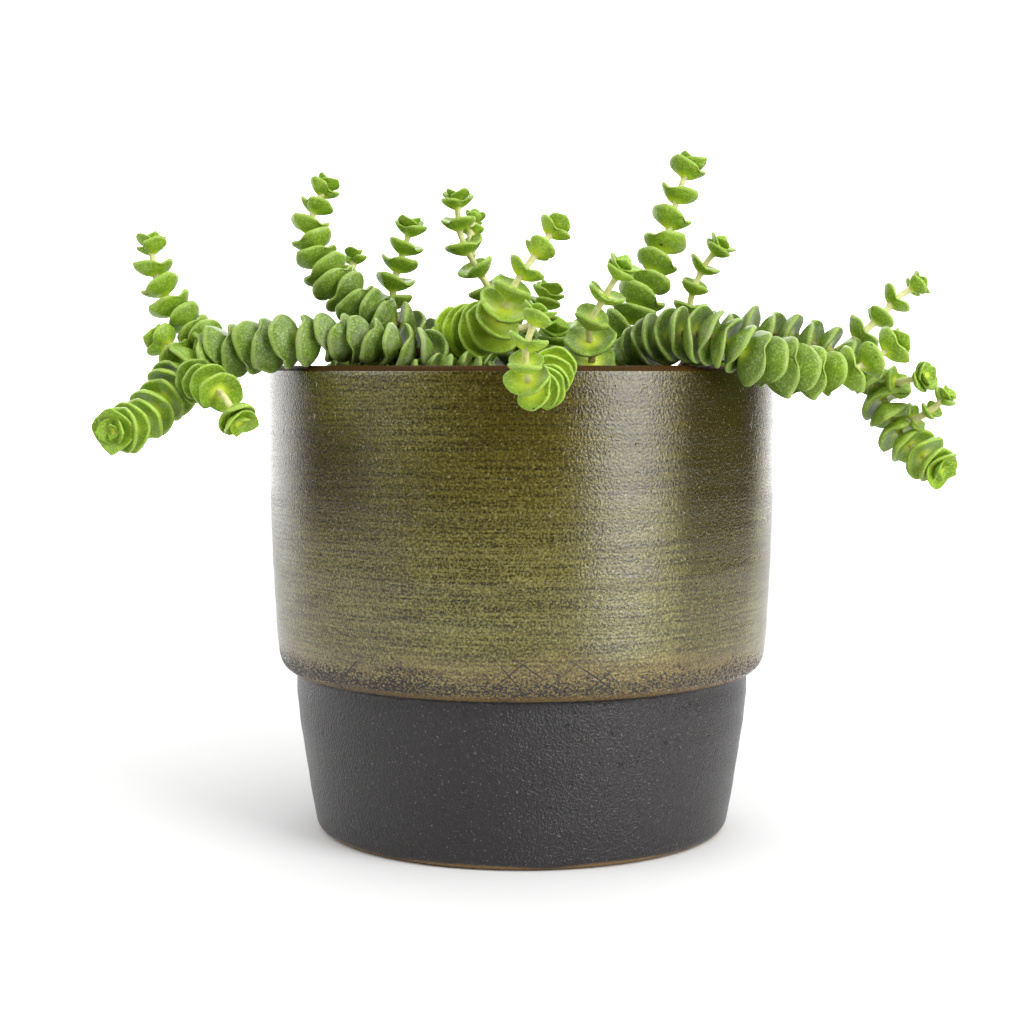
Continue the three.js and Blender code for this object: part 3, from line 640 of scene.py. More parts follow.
def leaf_pairs(seed, bare, sizes, gaps, roll, length):
    """The leaf pairs of a stem: where each sits, how large it is and how it is turned."""
    runs = [bare]
    while runs[-1] < length:
        runs.append(runs[-1] + ramp(gaps, runs[-1] / length))
    if runs[-1] - length > length - runs[-2]:
        runs.pop()
    stretch = (length - bare) / max(runs[-1] - bare, 1e-6)
    runs = [bare + (run - bare) * stretch for run in runs]
    pairs = []
    for k, run in enumerate(runs):
        before = runs[k - 1] if k else run - FIRST_PAIR_ROOM
        size = ramp(sizes, run / length) * (1 + SIZE_PLAY * play(seed, 4 * k))
        pairs.append({
            "run": run,
            "size": size,
            "stem_size": size,
            "closing": False,
            "thickness": min(LEAF_THICKNESS * size, LEAF_FILL * (run - before)),
            "roll": roll + 90 * k + ROLL_PLAY * play(seed, 4 * k + 1),
            "tip": TILT_PLAY * play(seed, 4 * k + 2),
            "lean": TILT_PLAY * play(seed, 4 * k + 3),
            "lift": LIFT_OPEN,
            "age": run / length,
        })
    return pairs + closing_pairs(pairs[-1])


def closing_pairs(last):
    """The small closing pairs of a tip, each turned a quarter from the one below."""
    pairs = []
    run = last["run"]
    closings = TIP_PAIRS if last["size"] > BUD_FROM_SIZE else TIP_PAIRS[:-1]
    for k, (share, step, lift, thickness) in enumerate(closings):
        run += step * last["size"]
        pairs.append({
            "run": run,
            "size": share * last["size"],
            "stem_size": last["size"],
            "closing": True,
            "thickness": thickness * last["size"],
            "roll": last["roll"] + 90 * (k + 1),
            "tip": 0,
            "lean": 0,
            "lift": lift,
            "age": 1.0,
        })
    return pairs


def pair_frame(walk, pair):
    """A pair's place and its own directions: along its leaves, across them and up."""
    point, along, side = walk.at(pair["run"])
    long = turned(np.cross(along, side), along, pair["roll"])
    wide = np.cross(along, long)
    axes = [turned(axis, wide, pair["lean"]) for axis in (long, wide, along)]
    return point, [turned(axis, long, pair["tip"]) for axis in axes]


class Skin:
    """The points, faces and painted values of one mesh while it grows."""

    VALUES = ("reach", "age", "luck")

    def __init__(self):
        self.points = []
        self.faces = []
        self.slots = []
        self.values = {name: [] for name in self.VALUES}
        self.count = 0

    def loft(self, rings, slot, **values):
        """Joins rings of points, each an equal number, and closes both ends with a fan."""
        rows, sides, _ = rings.shape
        first, self.count = self.count, self.count + rows * sides + 2
        ends = [rings[0].mean(axis=0), rings[-1].mean(axis=0)]
        self.points.append(np.concatenate([rings.reshape(-1, 3), ends]))
        for name in self.VALUES:
            given = np.broadcast_to(values.get(name, 0.0), (rows, sides)).reshape(-1)
            self.values[name].append(np.concatenate([given, given[:1], given[-1:]]))
        for row in range(rows - 1):
            for k in range(sides):
                a, b = first + row * sides + k, first + row * sides + (k + 1) % sides
                self.faces.append((a, b, b + sides, a + sides))
        low, high = first + rows * sides, first + rows * sides + 1
        for k in range(sides):
            after = (k + 1) % sides
            self.faces.append((first + after, first + k, low))
            self.faces.append((low - sides + k, low - sides + after, high))
        self.slots.extend([slot] * (len(self.faces) - len(self.slots)))

    def make(self, name, materials):
        """The finished mesh object, with its painted values as attributes of its points."""
        mesh = bpy.data.meshes.new(name)
        points = np.concatenate(self.points)
        mesh.from_pydata(points.tolist(), [], self.faces)
        for material in materials:
            mesh.materials.append(material)
        mesh.polygons.foreach_set("material_index", self.slots)
        for value, parts in self.values.items():
            layer = mesh.attributes.new(value, "FLOAT", "POINT")
            layer.data.foreach_set("value", np.concatenate(parts).astype(np.float32))
        mesh.shade_smooth()
        piece = bpy.data.objects.new(name, mesh)
        bpy.context.scene.collection.objects.link(piece)
        return piece


def halves(seed, count, angle, spread):
    """A value that differs between a pair's two leaves and evens out where they meet."""
    first, second = play(seed, count), play(seed, count + 1)
    toward = np.cos(angle)
    return spread * np.where(toward > 0, first, second) * np.abs(toward)


def leaf_pad(skin, walk, pair, seed, leaves):
    """A leaf pair: two plump leaves grown together round the stem."""
    half = pair["size"] / 2
    sides = PAD_SIDES if pair["size"] > SMALL_PAIR else BUD_SIDES
    angle = np.arange(sides) * 2 * math.pi / sides
    cos, sin = np.cos(angle), np.sin(angle)
    rows = np.array(PAD_UNDER + PAD_TOP)
    reach, depth = rows[:, :1], rows[:, 1:]
    slight = float(np.clip((SMALL_LEAF - pair["stem_size"]) / SMALL_LEAF_RANGE, 0, 1))
    taper = ramp([leaves.old_taper, leaves.taper], pair["age"])
    if pair["closing"]:
        taper = leaves.tip_taper
    taper += (leaves.round_taper - taper) * slight
    taper = 2 * (taper + halves(seed, 1, angle, TAPER_PLAY))
    length = 1 - np.abs(halves(seed, 3, angle, LENGTH_PLAY))
    deep = leaves.notch + leaves.waist * slight
    notch = 1 - deep * np.exp(-(cos / (leaves.notch_spread + 0.12 * slight)) ** 2)
    shoulder = 1 + leaves.shoulder * cos ** 2 + halves(seed, 5, angle, SHOULDER_PLAY)
    waves = 1
    for height, count, chance in MARGIN_WAVES:
        waves = waves + height * np.sin(count * angle + 6 * draw(seed, chance))
    long = cos * length * waves * reach
    wide = np.sign(sin) * np.abs(sin) ** taper * shoulder * notch * waves * leaves.width * reach
    bend = (pair["lift"] + halves(seed, 7, angle, LIFT_PLAY)) * np.abs(long) ** LIFT_CURVE
    bend = bend + leaves.cup * wide ** 2 * np.abs(cos)
    ripple = np.sin(4.1 * long + 6 * draw(seed, 9)) * np.sin(5.3 * wide + 6 * draw(seed, 10))
    plump = 1 + leaves.plump * (1 - pair["age"])
    thick = pair["thickness"] * plump * (1 + halves(seed, 11, angle, THICKNESS_PLAY))
    keel = 1 - KEEL + KEEL * np.abs(cos) ** 1.5
    crease = CREASE * reach ** 2 * np.exp(-(cos / 0.3) ** 2)
    under = np.arange(len(rows))[:, None] < len(PAD_UNDER)
    drop = np.where(under, depth * keel - 0.7 * crease, depth + crease) * thick
    up = (bend + RIPPLE * ripple * reach) * half - drop
    centre, (long_way, wide_way, up_way) = pair_frame(walk, pair)
    places = (centre + (long * half)[..., None] * long_way + (wide * half)[..., None] * wide_way
              + up[..., None] * up_way)
    luck = np.where(cos > 0, draw(seed, 12), draw(seed, 13))
    skin.loft(places * MM, 0, reach=reach, age=pair["age"], luck=luck)


def stem_tube(skin, walk, pairs, leaves, youth):
    """The round stem, a little swollen where a leaf pair clasps it."""
    angle = np.arange(STEM_SIDES) * 2 * math.pi / STEM_SIDES
    top = pairs[-2]["run"]
    runs = np.arange(0, top, STEM_STEP)
    joints = np.array([pair["run"] - 0.6 * pair["thickness"] for pair in pairs])
    rings = []
    ages = []
    for run in runs:
        point, along, side = walk.at(run)
        share = min(run / walk.length, 1)
        near = np.min(np.abs(joints - run)) / SWELL_REACH
        swell = 1 + STEM_SWELL * np.exp(-near ** 2)
        radius = ramp([leaves.stem_base, leaves.stem_tip], share) / MM * swell
        if run > walk.length:
            radius *= 0.6
        across = np.cross(along, side)
        rings.append(point + radius * (np.cos(angle)[:, None] * across
                                       - np.sin(angle)[:, None] * side))
        ages.append(youth + (1 - youth) * share)
    skin.loft(np.array(rings) * MM, 1, age=np.array(ages)[:, None])


def leafy_piece(stem, leaves, name, light=1.0):
    """A stem with its side shoots and all its leaf pairs as one mesh; in low light they stay dull."""
    skin = Skin()
    _, slot, *first, shoots = stem
    for place, (seed, route, bare, sizes, gaps, roll) in enumerate([tuple(first), *shoots]):
        walk = Walk(route)
        pairs = leaf_pairs(seed, bare, sizes, gaps, roll, walk.length)
        youth = SHOOT_YOUTH if place else LEAF_KINDS[slot][0]
        for pair in pairs:
            pair["age"] = (youth + (1 - youth) * pair["age"]) * light
        stem_tube(skin, walk, pairs, leaves, SHOOT_STEM_YOUTH if place else STEM_YOUTH)
        for k, pair in enumerate(pairs):
            leaf_pad(skin, walk, pair, seed * 100 + 17 * k, leaves)
    piece = skin.make(name, [leaf_material(slot), stem_material()])
    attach(piece, "root")
    return piece


class Graph:
    """Adds nodes to one node tree and links them."""

    def __init__(self, tree):
        self.tree = tree

    def feed(self, socket, value):
        """Links another socket to this one, or sets its value."""
        if isinstance(value, bpy.types.NodeSocket):
            self.tree.links.new(value, socket)
        elif socket.type == "RGBA" and len(value) == 3:
            socket.default_value = (*value, 1)
        else:
            socket.default_value = value

    def add(self, kind, inputs=None, **settings):
        """A new node with its settings made and its inputs fed."""
        node = self.tree.nodes.new(kind)
        for name, value in settings.items():
            setattr(node, name, value)
        for name, value in (inputs or {}).items():
            self.feed(node.inputs[name], value)
        return node

    def math(self, operation, *values, clamp=False):
        inputs = dict(enumerate(values))
        return self.add("ShaderNodeMath", inputs, operation=operation, use_clamp=clamp).outputs[0]

    def times(self, first, second):
        return self.math("MULTIPLY", first, second)

    def plus(self, first, second):
        return self.math("ADD", first, second)

    def minus(self, first, second):
        return self.math("SUBTRACT", first, second)

    def most(self, first, second):
        """The larger of two values."""
        return self.math("MAXIMUM", first, second)

    def near(self, value, middle, far, close):
        """How close a value is to a middle: 0 from far away, 1 once it is close."""
        return self.span(self.math("ABSOLUTE", self.minus(value, middle)), far, close)

    def mix(self, share, first, second):
        """The first colour, with a share of the second over it."""
        node = self.add("ShaderNodeMix", {0: share, 6: first, 7: second}, data_type="RGBA")
        return node.outputs[2]

    def span(self, value, low, high, start=0.0, end=1.0):
        """A smooth rise from start to end as value goes from low to high."""
        return self.add("ShaderNodeMapRange", {0: value, 1: low, 2: high, 3: start, 4: end},
                        interpolation_type="SMOOTHSTEP").outputs[0]

    def noise(self, place, scale, detail=2.0, roughness=0.5):
        inputs = {"Vector": place, "Scale": scale, "Detail": detail, "Roughness": roughness}
        return self.add("ShaderNodeTexNoise", inputs).outputs[0]

    def stretch(self, place, scale):
        """A place stretched along each axis by its own scale."""
        inputs = {0: place, 1: scale}
        return self.add("ShaderNodeVectorMath", inputs, operation="MULTIPLY").outputs[0]

    def value(self, name):
        """A value that is painted on the mesh."""
        return self.add("ShaderNodeAttribute", attribute_name=name).outputs["Fac"]

    def place(self):
        return self.add("ShaderNodeTexCoord").outputs["Object"]

    def height(self, place):
        return self.add("ShaderNodeSeparateXYZ", {0: place}).outputs["Z"]


def shader_group(name, inputs, outputs):
    """A new shader node group with its sockets, its graph, its input and its output node."""
    tree = bpy.data.node_groups.new(name, "ShaderNodeTree")
    for word, kind in inputs:
        tree.interface.new_socket(word, in_out="INPUT", socket_type=kind)
    for word, kind in outputs:
        tree.interface.new_socket(word, in_out="OUTPUT", socket_type=kind)
    graph = Graph(tree)
    return graph, graph.add("NodeGroupInput").outputs, graph.add("NodeGroupOutput").inputs


def use_group(graph, name, build, **inputs):
    """The outputs of a group placed in a material, built on its first use."""
    if name not in bpy.data.node_groups:
        build(name)
    tree = bpy.data.node_groups[name]
    node = graph.add("ShaderNodeGroup", node_tree=tree)
    for word, value in inputs.items():
        graph.feed(node.inputs[word.replace("_", " ")], value)
    return node.outputs


def build_fired_grain(name):
    """Sandy grain and pits of fired clay, and fine lines left by the wheel."""
    graph, given, made = shader_group(
        name,
        [("Lines", "NodeSocketFloat"), ("Sand", "NodeSocketFloat")],
        [("Height", "NodeSocketFloat"), ("Bright Specks", "NodeSocketFloat"),
         ("Dark Specks", "NodeSocketFloat"), ("Streaks", "NodeSocketFloat")])
    place = graph.place()
    streaks = graph.noise(graph.stretch(place, (42, 42, 1500)), 1.0, 2.0, 0.6)
    sand = graph.noise(place, 1750, 2.0, 0.5)
    coarse = graph.noise(place, 1600, 2.0, 0.5)
    pits = graph.span(graph.noise(place, 430, 1.0), 0.7, 0.8)
    height = graph.times(streaks, given["Lines"])
    height = graph.plus(height, graph.times(sand, given["Sand"]))
    height = graph.plus(height, graph.times(coarse, 0.9))
    graph.feed(made["Height"], graph.minus(height, graph.times(pits, 0.8)))
    graph.feed(made["Bright Specks"], graph.span(sand, 0.65, 0.73))
    graph.feed(made["Dark Specks"], graph.span(sand, 0.56, 0.44))
    graph.feed(made["Streaks"], graph.span(streaks, 0.34, 0.66))


def build_blotches(name):
    """Soft uneven patches in a glaze or a leaf."""
    graph, given, made = shader_group(
        name, [("Scale", "NodeSocketFloat")], [("Patches", "NodeSocketFloat")])
    patches = graph.noise(graph.place(), given["Scale"], 3.0, 0.55)
    graph.feed(made["Patches"], graph.span(patches, 0.32, 0.68))


def build_leaf_skin(name):
    """Colour and skin of a fleshy leaf, from where a point lies on it and how old it is."""
    graph, given, made = shader_group(
        name,
        [("Green", "NodeSocketColor"), ("Young Green", "NodeSocketColor"),
         ("Glow", "NodeSocketColor"), ("Margin", "NodeSocketColor"),
         ("Glow Reach", "NodeSocketFloat"), ("Bloom", "NodeSocketFloat")],
        [("Colour", "NodeSocketColor"), ("Roughness", "NodeSocketFloat"),
         ("Height", "NodeSocketFloat")])
    place = graph.place()
    reach, age, luck = graph.value("reach"), graph.value("age"), graph.value("luck")
    patches = use_group(graph, "Blotches", build_blotches, Scale=330.0)["Patches"]
    stipple = graph.noise(place, 1900, 2.0, 0.6)
    youth = graph.math("ADD", graph.span(age, 0.55, 1.0), graph.times(luck, 0.25), clamp=True)
    colour = graph.mix(youth, given["Green"], given["Young Green"])
    dark = graph.mix(0.5, colour, LEAF_SHADE)
    colour = graph.mix(graph.times(patches, 0.5), colour, dark)
    dots = graph.times(graph.span(stipple, 0.47, 0.6), 0.62)
    colour = graph.mix(dots, colour, dark)
    light = graph.times(graph.span(stipple, 0.46, 0.36), 0.42)
    colour = graph.mix(light, colour, given["Margin"])
    # Yellow green near the stem, stronger on younger leaves: partly own colour, partly a painted glow
    # of light through the leaf
    near = graph.span(reach, given["Glow Reach"], 0.12)
    near = graph.times(near, graph.span(age, 0.1, 0.75, 0.25, 0.95))
    colour = graph.mix(near, colour, given["Glow"])
    edge = graph.times(graph.span(reach, 0.95, 0.99), 0.38)
    colour = graph.mix(edge, colour, given["Margin"])
    dust = graph.times(graph.span(graph.noise(place, 240, 4.0, 0.7), 0.46, 0.66), given["Bloom"])
    dust = graph.times(dust, graph.span(age, 0.8, 0.3))
    colour = graph.mix(dust, colour, LEAF_BLOOM)
    scar = graph.span(graph.noise(place, 420, 2.0), 0.7, 0.74)
    scar = graph.times(scar, graph.span(luck, 0.8, 0.86))
    colour = graph.mix(scar, colour, LEAF_SCAR)
    graph.feed(made["Colour"], colour)
    rough = graph.plus(graph.times(patches, 0.14), 0.28)
    graph.feed(made["Roughness"], graph.plus(rough, graph.times(dust, 0.3)))
    height = graph.plus(graph.times(stipple, 0.5), patches)
    graph.feed(made["Height"], height)


def new_material(name):
    """A new material, its graph and its Principled shader."""
    material = bpy.data.materials.new(name)
    material.use_nodes = True
    graph = Graph(material.node_tree)
    shader = material.node_tree.nodes["Principled BSDF"]
    return material, graph, shader


def add_bump(graph, shader, height, strength, distance):
    """Feeds a shader's normal with a bump that is as deep as the distance."""
    bump = graph.add("ShaderNodeBump", {"Height": height, "Strength": strength,
                                        "Distance": distance})
    graph.feed(shader.inputs["Normal"], bump.outputs[0])


def leaf_material(slot):
    """The leaf material of a slot: old leaves are greyer, young ones yellower."""
    name = slot.replace("_", " ").title()
    if name in bpy.data.materials:
        return bpy.data.materials[name]
    leaves = bpy.context.scene.jade_leaves
    # The young slot takes the brighter front green, partly painted light for the shaded front stems
    green = {"leaf_old": leaves.green_old, "leaf_mid": leaves.green_mid,
             "leaf_young": leaves.front_green_and_painted_light}[slot]
    _, bloom, yellow_and_painted_glow_reach = LEAF_KINDS[slot]
    material, graph, shader = new_material(name)
    skin = use_group(graph, "Leaf Skin", build_leaf_skin, Green=tuple(green),
                     Young_Green=tuple(leaves.green_young), Glow=tuple(leaves.yellow_and_painted_glow),
                     Margin=tuple(leaves.margin), Glow_Reach=yellow_and_painted_glow_reach, Bloom=bloom)
    graph.feed(shader.inputs["Base Color"], skin["Colour"])
    graph.feed(shader.inputs["Roughness"], skin["Roughness"])
    shader.inputs["Subsurface Weight"].default_value = 0.22
    shader.inputs["Subsurface Radius"].default_value = (0.5, 1.0, 0.15)
    shader.inputs["Subsurface Scale"].default_value = 1.2 * MM
    shader.inputs["IOR"].default_value = 1.36
    shader.inputs["Specular IOR Level"].default_value = 0.42
    add_bump(graph, shader, skin["Height"], 0.6, 0.14 * MM)
    return material


def stem_material():
    """Cream young stems that turn brown and corky towards the root."""
    if "Stem" in bpy.data.materials:
        return bpy.data.materials["Stem"]
    leaves = bpy.context.scene.jade_leaves
    material, graph, shader = new_material("Stem")
    age = graph.value("age")
    patches = use_group(graph, "Blotches", build_blotches, Scale=700.0)["Patches"]
    age = graph.plus(age, graph.times(patches, 0.12))
    youth = graph.span(age, 0.5, 0.78)
    colour = graph.mix(youth, tuple(leaves.stem_old), tuple(leaves.stem_young))
    colour = graph.mix(graph.times(patches, 0.25), colour, tuple(leaves.stem_old))
    graph.feed(shader.inputs["Base Color"], colour)
    shader.inputs["Roughness"].default_value = 0.5
    shader.inputs["Subsurface Weight"].default_value = 0.15
    shader.inputs["Subsurface Radius"].default_value = (1.0, 0.9, 0.4)
    shader.inputs["Subsurface Scale"].default_value = 0.8 * MM
    add_bump(graph, shader, patches, 0.3, 0.15 * MM)
    return material


def front_turn(graph):
    """The angle round the pot in radians, from its front to its right."""
    apart = graph.add("ShaderNodeSeparateXYZ", {0: graph.place()}).outputs
    return graph.math("ARCTAN2", apart["X"], graph.times(apart["Y"], -1.0))


def scratch_mask(graph, height):
    """Thin crossed scratches in the lowest stretch of the glaze, in patches round the pot."""
    turn = front_turn(graph)
    round_way = graph.times(turn, SCRATCH_RADIUS)
    bent = graph.math("MULTIPLY_ADD", graph.noise(graph.place(), 38, 1.0), 4.0,
                      graph.times(height, 1000.0))
    marks = None
    for slope, step in SCRATCHES:
        line = graph.plus(bent, graph.times(round_way, slope))
        line = graph.math("DIVIDE", line, step)
        chance = graph.add("ShaderNodeTexWhiteNoise", {"W": graph.math("FLOOR", line)},
                           noise_dimensions="1D").outputs["Value"]
        middle = graph.math("MULTIPLY_ADD", chance, 0.7, 0.15)
        aside = graph.minus(graph.math("FRACT", line), middle)
        aside = graph.times(graph.math("ABSOLUTE", aside), step)
        line = graph.times(graph.span(aside, 0.28, 0.12), graph.span(chance, 0.4, 0.8))
        marks = line if marks is None else graph.most(marks, line)
    broken = graph.span(graph.noise(graph.place(), 95, 2.0, 0.6), 0.44, 0.5)
    some = graph.near(turn, SCRATCH_TURN, 0.36, 0.26)
    more = graph.span(graph.noise(graph.place(), 32, 1.0), 0.62, 0.68)
    some = graph.most(some, more)
    low = graph.span(height, *SCRATCH_TOP)
    marks = graph.times(marks, graph.times(broken, some))
    return graph.times(marks, low)


def glaze_material():
    """Satin olive glaze, brown under the rim, greener and lighter lower down (partly painted light
    from the floor), with painted shade at the right, a painted highlight under the rim at the left,
    and rubbed off at the step.
    """
    pot = bpy.context.scene.jade_pot
    material, graph, shader = new_material("Olive Glaze")
    place = graph.place()
    height = graph.height(place)
    grain = use_group(graph, "Fired Grain", build_fired_grain, Lines=0.4, Sand=0.25)
    patches = use_group(graph, "Blotches", build_blotches, Scale=26.0)["Patches"]
    # Lighter and greener towards the bottom: partly the glaze's own colour, partly painted light from
    # the floor
    low = graph.span(height, pot.height - 8 * MM, pot.step_height + 14 * MM)
    colour = graph.mix(low, tuple(pot.glaze_top), tuple(pot.glaze_low_and_painted_light))
    turn = front_turn(graph)
    # Painted shade: the glaze darkened at the right beyond the highlight, fading out towards the
    # bottom
    painted_shade = graph.near(turn, PAINTED_SHADE_TURN, 0.32, 0.16)
    painted_shade = graph.times(painted_shade, graph.span(height, *PAINTED_SHADE_RISE, 0.55, 1.0))
    burnt = graph.near(turn, BURNT_TURN, 0.32, 0.1)
    burnt = graph.times(burnt, graph.span(height, *BURNT_RISE, 0.0, 0.6))
    burnt = graph.times(burnt, graph.span(height, *BURNT_TOP))
    # Painted highlight: a paler patch just under the rim at the left, a light's reflection painted
    # into the glaze's colour
    painted_highlight = graph.near(turn, PAINTED_HIGHLIGHT_TURN, 0.42, 0.16)
    painted_highlight = graph.times(painted_highlight, graph.span(height, *PAINTED_HIGHLIGHT_RISE, 0.0, 0.55))
    colour = graph.mix(painted_highlight, colour, tuple(pot.glaze_low_and_painted_light))
    # Random blotches and the burnt patch, with the painted shade at the right
    shade = graph.most(graph.times(patches, 0.22), graph.times(graph.most(painted_shade, burnt), 0.85))
    colour = graph.mix(shade, colour, tuple(pot.glaze_dark))
    dark = graph.times(grain["Dark Specks"], 0.56)
    mottle = graph.plus(graph.times(grain["Streaks"], 0.42), dark)
    colour = graph.mix(mottle, colour, tuple(pot.glaze_dark))
    # Painted glints: sparse pale dots that stand in for light glinting on the grains
    painted_glints = graph.times(grain["Bright Specks"], 0.34)
    colour = graph.mix(painted_glints, colour, tuple(pot.painted_glint))
    ragged = graph.noise(place, 45, 4.0, 0.6)
    lowest, highest = (pot.step_height + rise for rise in WORN_TOP)
    worn_top = graph.add("ShaderNodeMapRange",
                         {0: ragged, 1: 0.3, 2: 0.7, 3: lowest, 4: highest}).outputs[0]
    depth = graph.math("DIVIDE", graph.minus(worn_top, height), WORN_DEPTH)
    crumble = graph.noise(graph.stretch(place, (1500, 1500, 2300)), 1.0, 2.0, 0.7)
    rubbed = graph.plus(crumble, graph.span(depth, -0.4, 0.8, -0.2, 0.0))
    rubbed = graph.plus(rubbed, graph.span(turn, -0.28, -0.6, 0.0, 0.05))
    rubbed = graph.span(rubbed, 0.47, 0.5)
    tan = graph.span(depth, -0.8, 0.6)
    colour = graph.mix(graph.times(tan, 0.25), colour, tuple(pot.worn_tan))
    colour = graph.mix(graph.times(rubbed, 0.96), colour, tuple(pot.scorch))
    lip = graph.span(height, *(pot.step_height + rise for rise in WORN_LIP))
    colour = graph.mix(graph.times(lip, 0.3), colour, tuple(pot.worn_tan))
    scratches = scratch_mask(graph, height)
    colour = graph.mix(scratches, colour, tuple(pot.scorch))
    graph.feed(shader.inputs["Base Color"], colour)
    bare = graph.most(rubbed, scratches)
    rough = graph.plus(graph.times(grain["Streaks"], 0.06), 0.13)
    graph.feed(shader.inputs["Roughness"], graph.plus(rough, graph.times(bare, 0.5)))
    shader.inputs["IOR"].default_value = 1.5
    shader.inputs["Specular IOR Level"].default_value = 0.68
    relief = graph.minus(grain["Height"], graph.times(bare, 0.25))
    add_bump(graph, shader, relief, 1.0, 0.14 * MM)
    return material


def rim_material():
    """The bare brown line that runs round the rim."""
    pot = bpy.context.scene.jade_pot
    material, graph, shader = new_material("Bare Rim")
    grain = use_group(graph, "Fired Grain", build_fired_grain, Lines=0.2, Sand=0.6)
    dark = graph.times(grain["Dark Specks"], 0.6)
    colour = graph.mix(dark, tuple(pot.rim_brown), tuple(pot.glaze_dark))
    graph.feed(shader.inputs["Base Color"], colour)
    shader.inputs["Roughness"].default_value = 0.6
    shader.inputs["Specular IOR Level"].default_value = 0.08
    add_bump(graph, shader, grain["Height"], 1.0, 0.3 * MM)
    return material


def clay_material():
    """Bare charcoal clay of the foot, with pale grains and a worn edge at the base."""
    pot = bpy.context.scene.jade_pot
    material, graph, shader = new_material("Charcoal Clay")
    place = graph.place()
    height = graph.height(place)
    grain = use_group(graph, "Fired Grain", build_fired_grain, Lines=0.2, Sand=0.6)
    patches = use_group(graph, "Blotches", build_blotches, Scale=34.0)["Patches"]
    colour = graph.mix(graph.times(patches, 0.35), tuple(pot.clay), CLAY_SHADE)
    pale = graph.times(grain["Bright Specks"], 0.5)
    colour = graph.mix(pale, colour, CLAY_GRAIN)
    colour = graph.mix(graph.times(grain["Dark Specks"], 0.4), colour, CLAY_PITS)
    edge = graph.span(graph.plus(height, graph.times(patches, BASE_PLAY)), *WORN_BASE)
    colour = graph.mix(graph.times(edge, 0.8), colour, tuple(pot.worn_tan))
    graph.feed(shader.inputs["Base Color"], colour)
    rough = graph.plus(graph.times(patches, 0.08), 0.26)
    graph.feed(shader.inputs["Roughness"], rough)
    add_bump(graph, shader, grain["Height"], 1.0, 0.5 * MM)
    return material


def inside_material():
    """The inside of the pot: the glaze's top colour, darker along its streaks."""
    pot = bpy.context.scene.jade_pot
    material, graph, shader = new_material("Inside Glaze")
    grain = use_group(graph, "Fired Grain", build_fired_grain, Lines=0.6, Sand=0.6)
    dark = graph.times(grain["Streaks"], 0.9)
    colour = graph.mix(dark, tuple(pot.glaze_top), tuple(pot.glaze_dark))
    graph.feed(shader.inputs["Base Color"], colour)
    shader.inputs["Roughness"].default_value = 0.42
    add_bump(graph, shader, grain["Height"], 0.4, 0.15 * MM)
    return material


def soil_material():
    """Dark damp potting soil with paler fibres and grit."""
    soil = bpy.context.scene.jade_soil
    material, graph, shader = new_material("Potting Soil")
    place = graph.place()
    crumbs = graph.noise(place, 420, 5.0, 0.7)
    grit = graph.span(graph.noise(place, 900, 2.0, 0.6), 0.66, 0.74)
    colour = graph.mix(graph.span(crumbs, 0.35, 0.65), SOIL_SHADE, tuple(soil.colour))
    colour = graph.mix(graph.times(grit, 0.5), colour, SOIL_GRIT)
    graph.feed(shader.inputs["Base Color"], colour)
    shader.inputs["Roughness"].default_value = 0.95
    add_bump(graph, shader, crumbs, 0.9, 0.8 * MM)
    return material


def rounded(outline, radius, steps=4):
    """An outline with its corners rounded and its long stretches split."""
    points = [np.array(outline[0], float)]
    for before, corner, after in zip(outline, outline[1:], outline[2:]):
        before, corner, after = (np.array(p, float) for p in (before, corner, after))
        back = min(radius, ROUND_SHARE * np.linalg.norm(before - corner))
        ahead = min(radius, ROUND_SHARE * np.linalg.norm(after - corner))
        start = corner + unit(before - corner) * back
        end = corner + unit(after - corner) * ahead
        for k in range(steps + 1):
            share = k / steps
            points.append(start * (1 - share) ** 2 + corner * 2 * share * (1 - share)
                          + end * share ** 2)
    points.append(np.array(outline[-1], float))
    split = [points[0]]
    for a, b in zip(points, points[1:]):
        count = max(1, math.ceil(np.linalg.norm(b - a) / LONGEST_STRETCH))
        split.extend(a + (b - a) * k / count for k in range(1, count + 1))
    return split


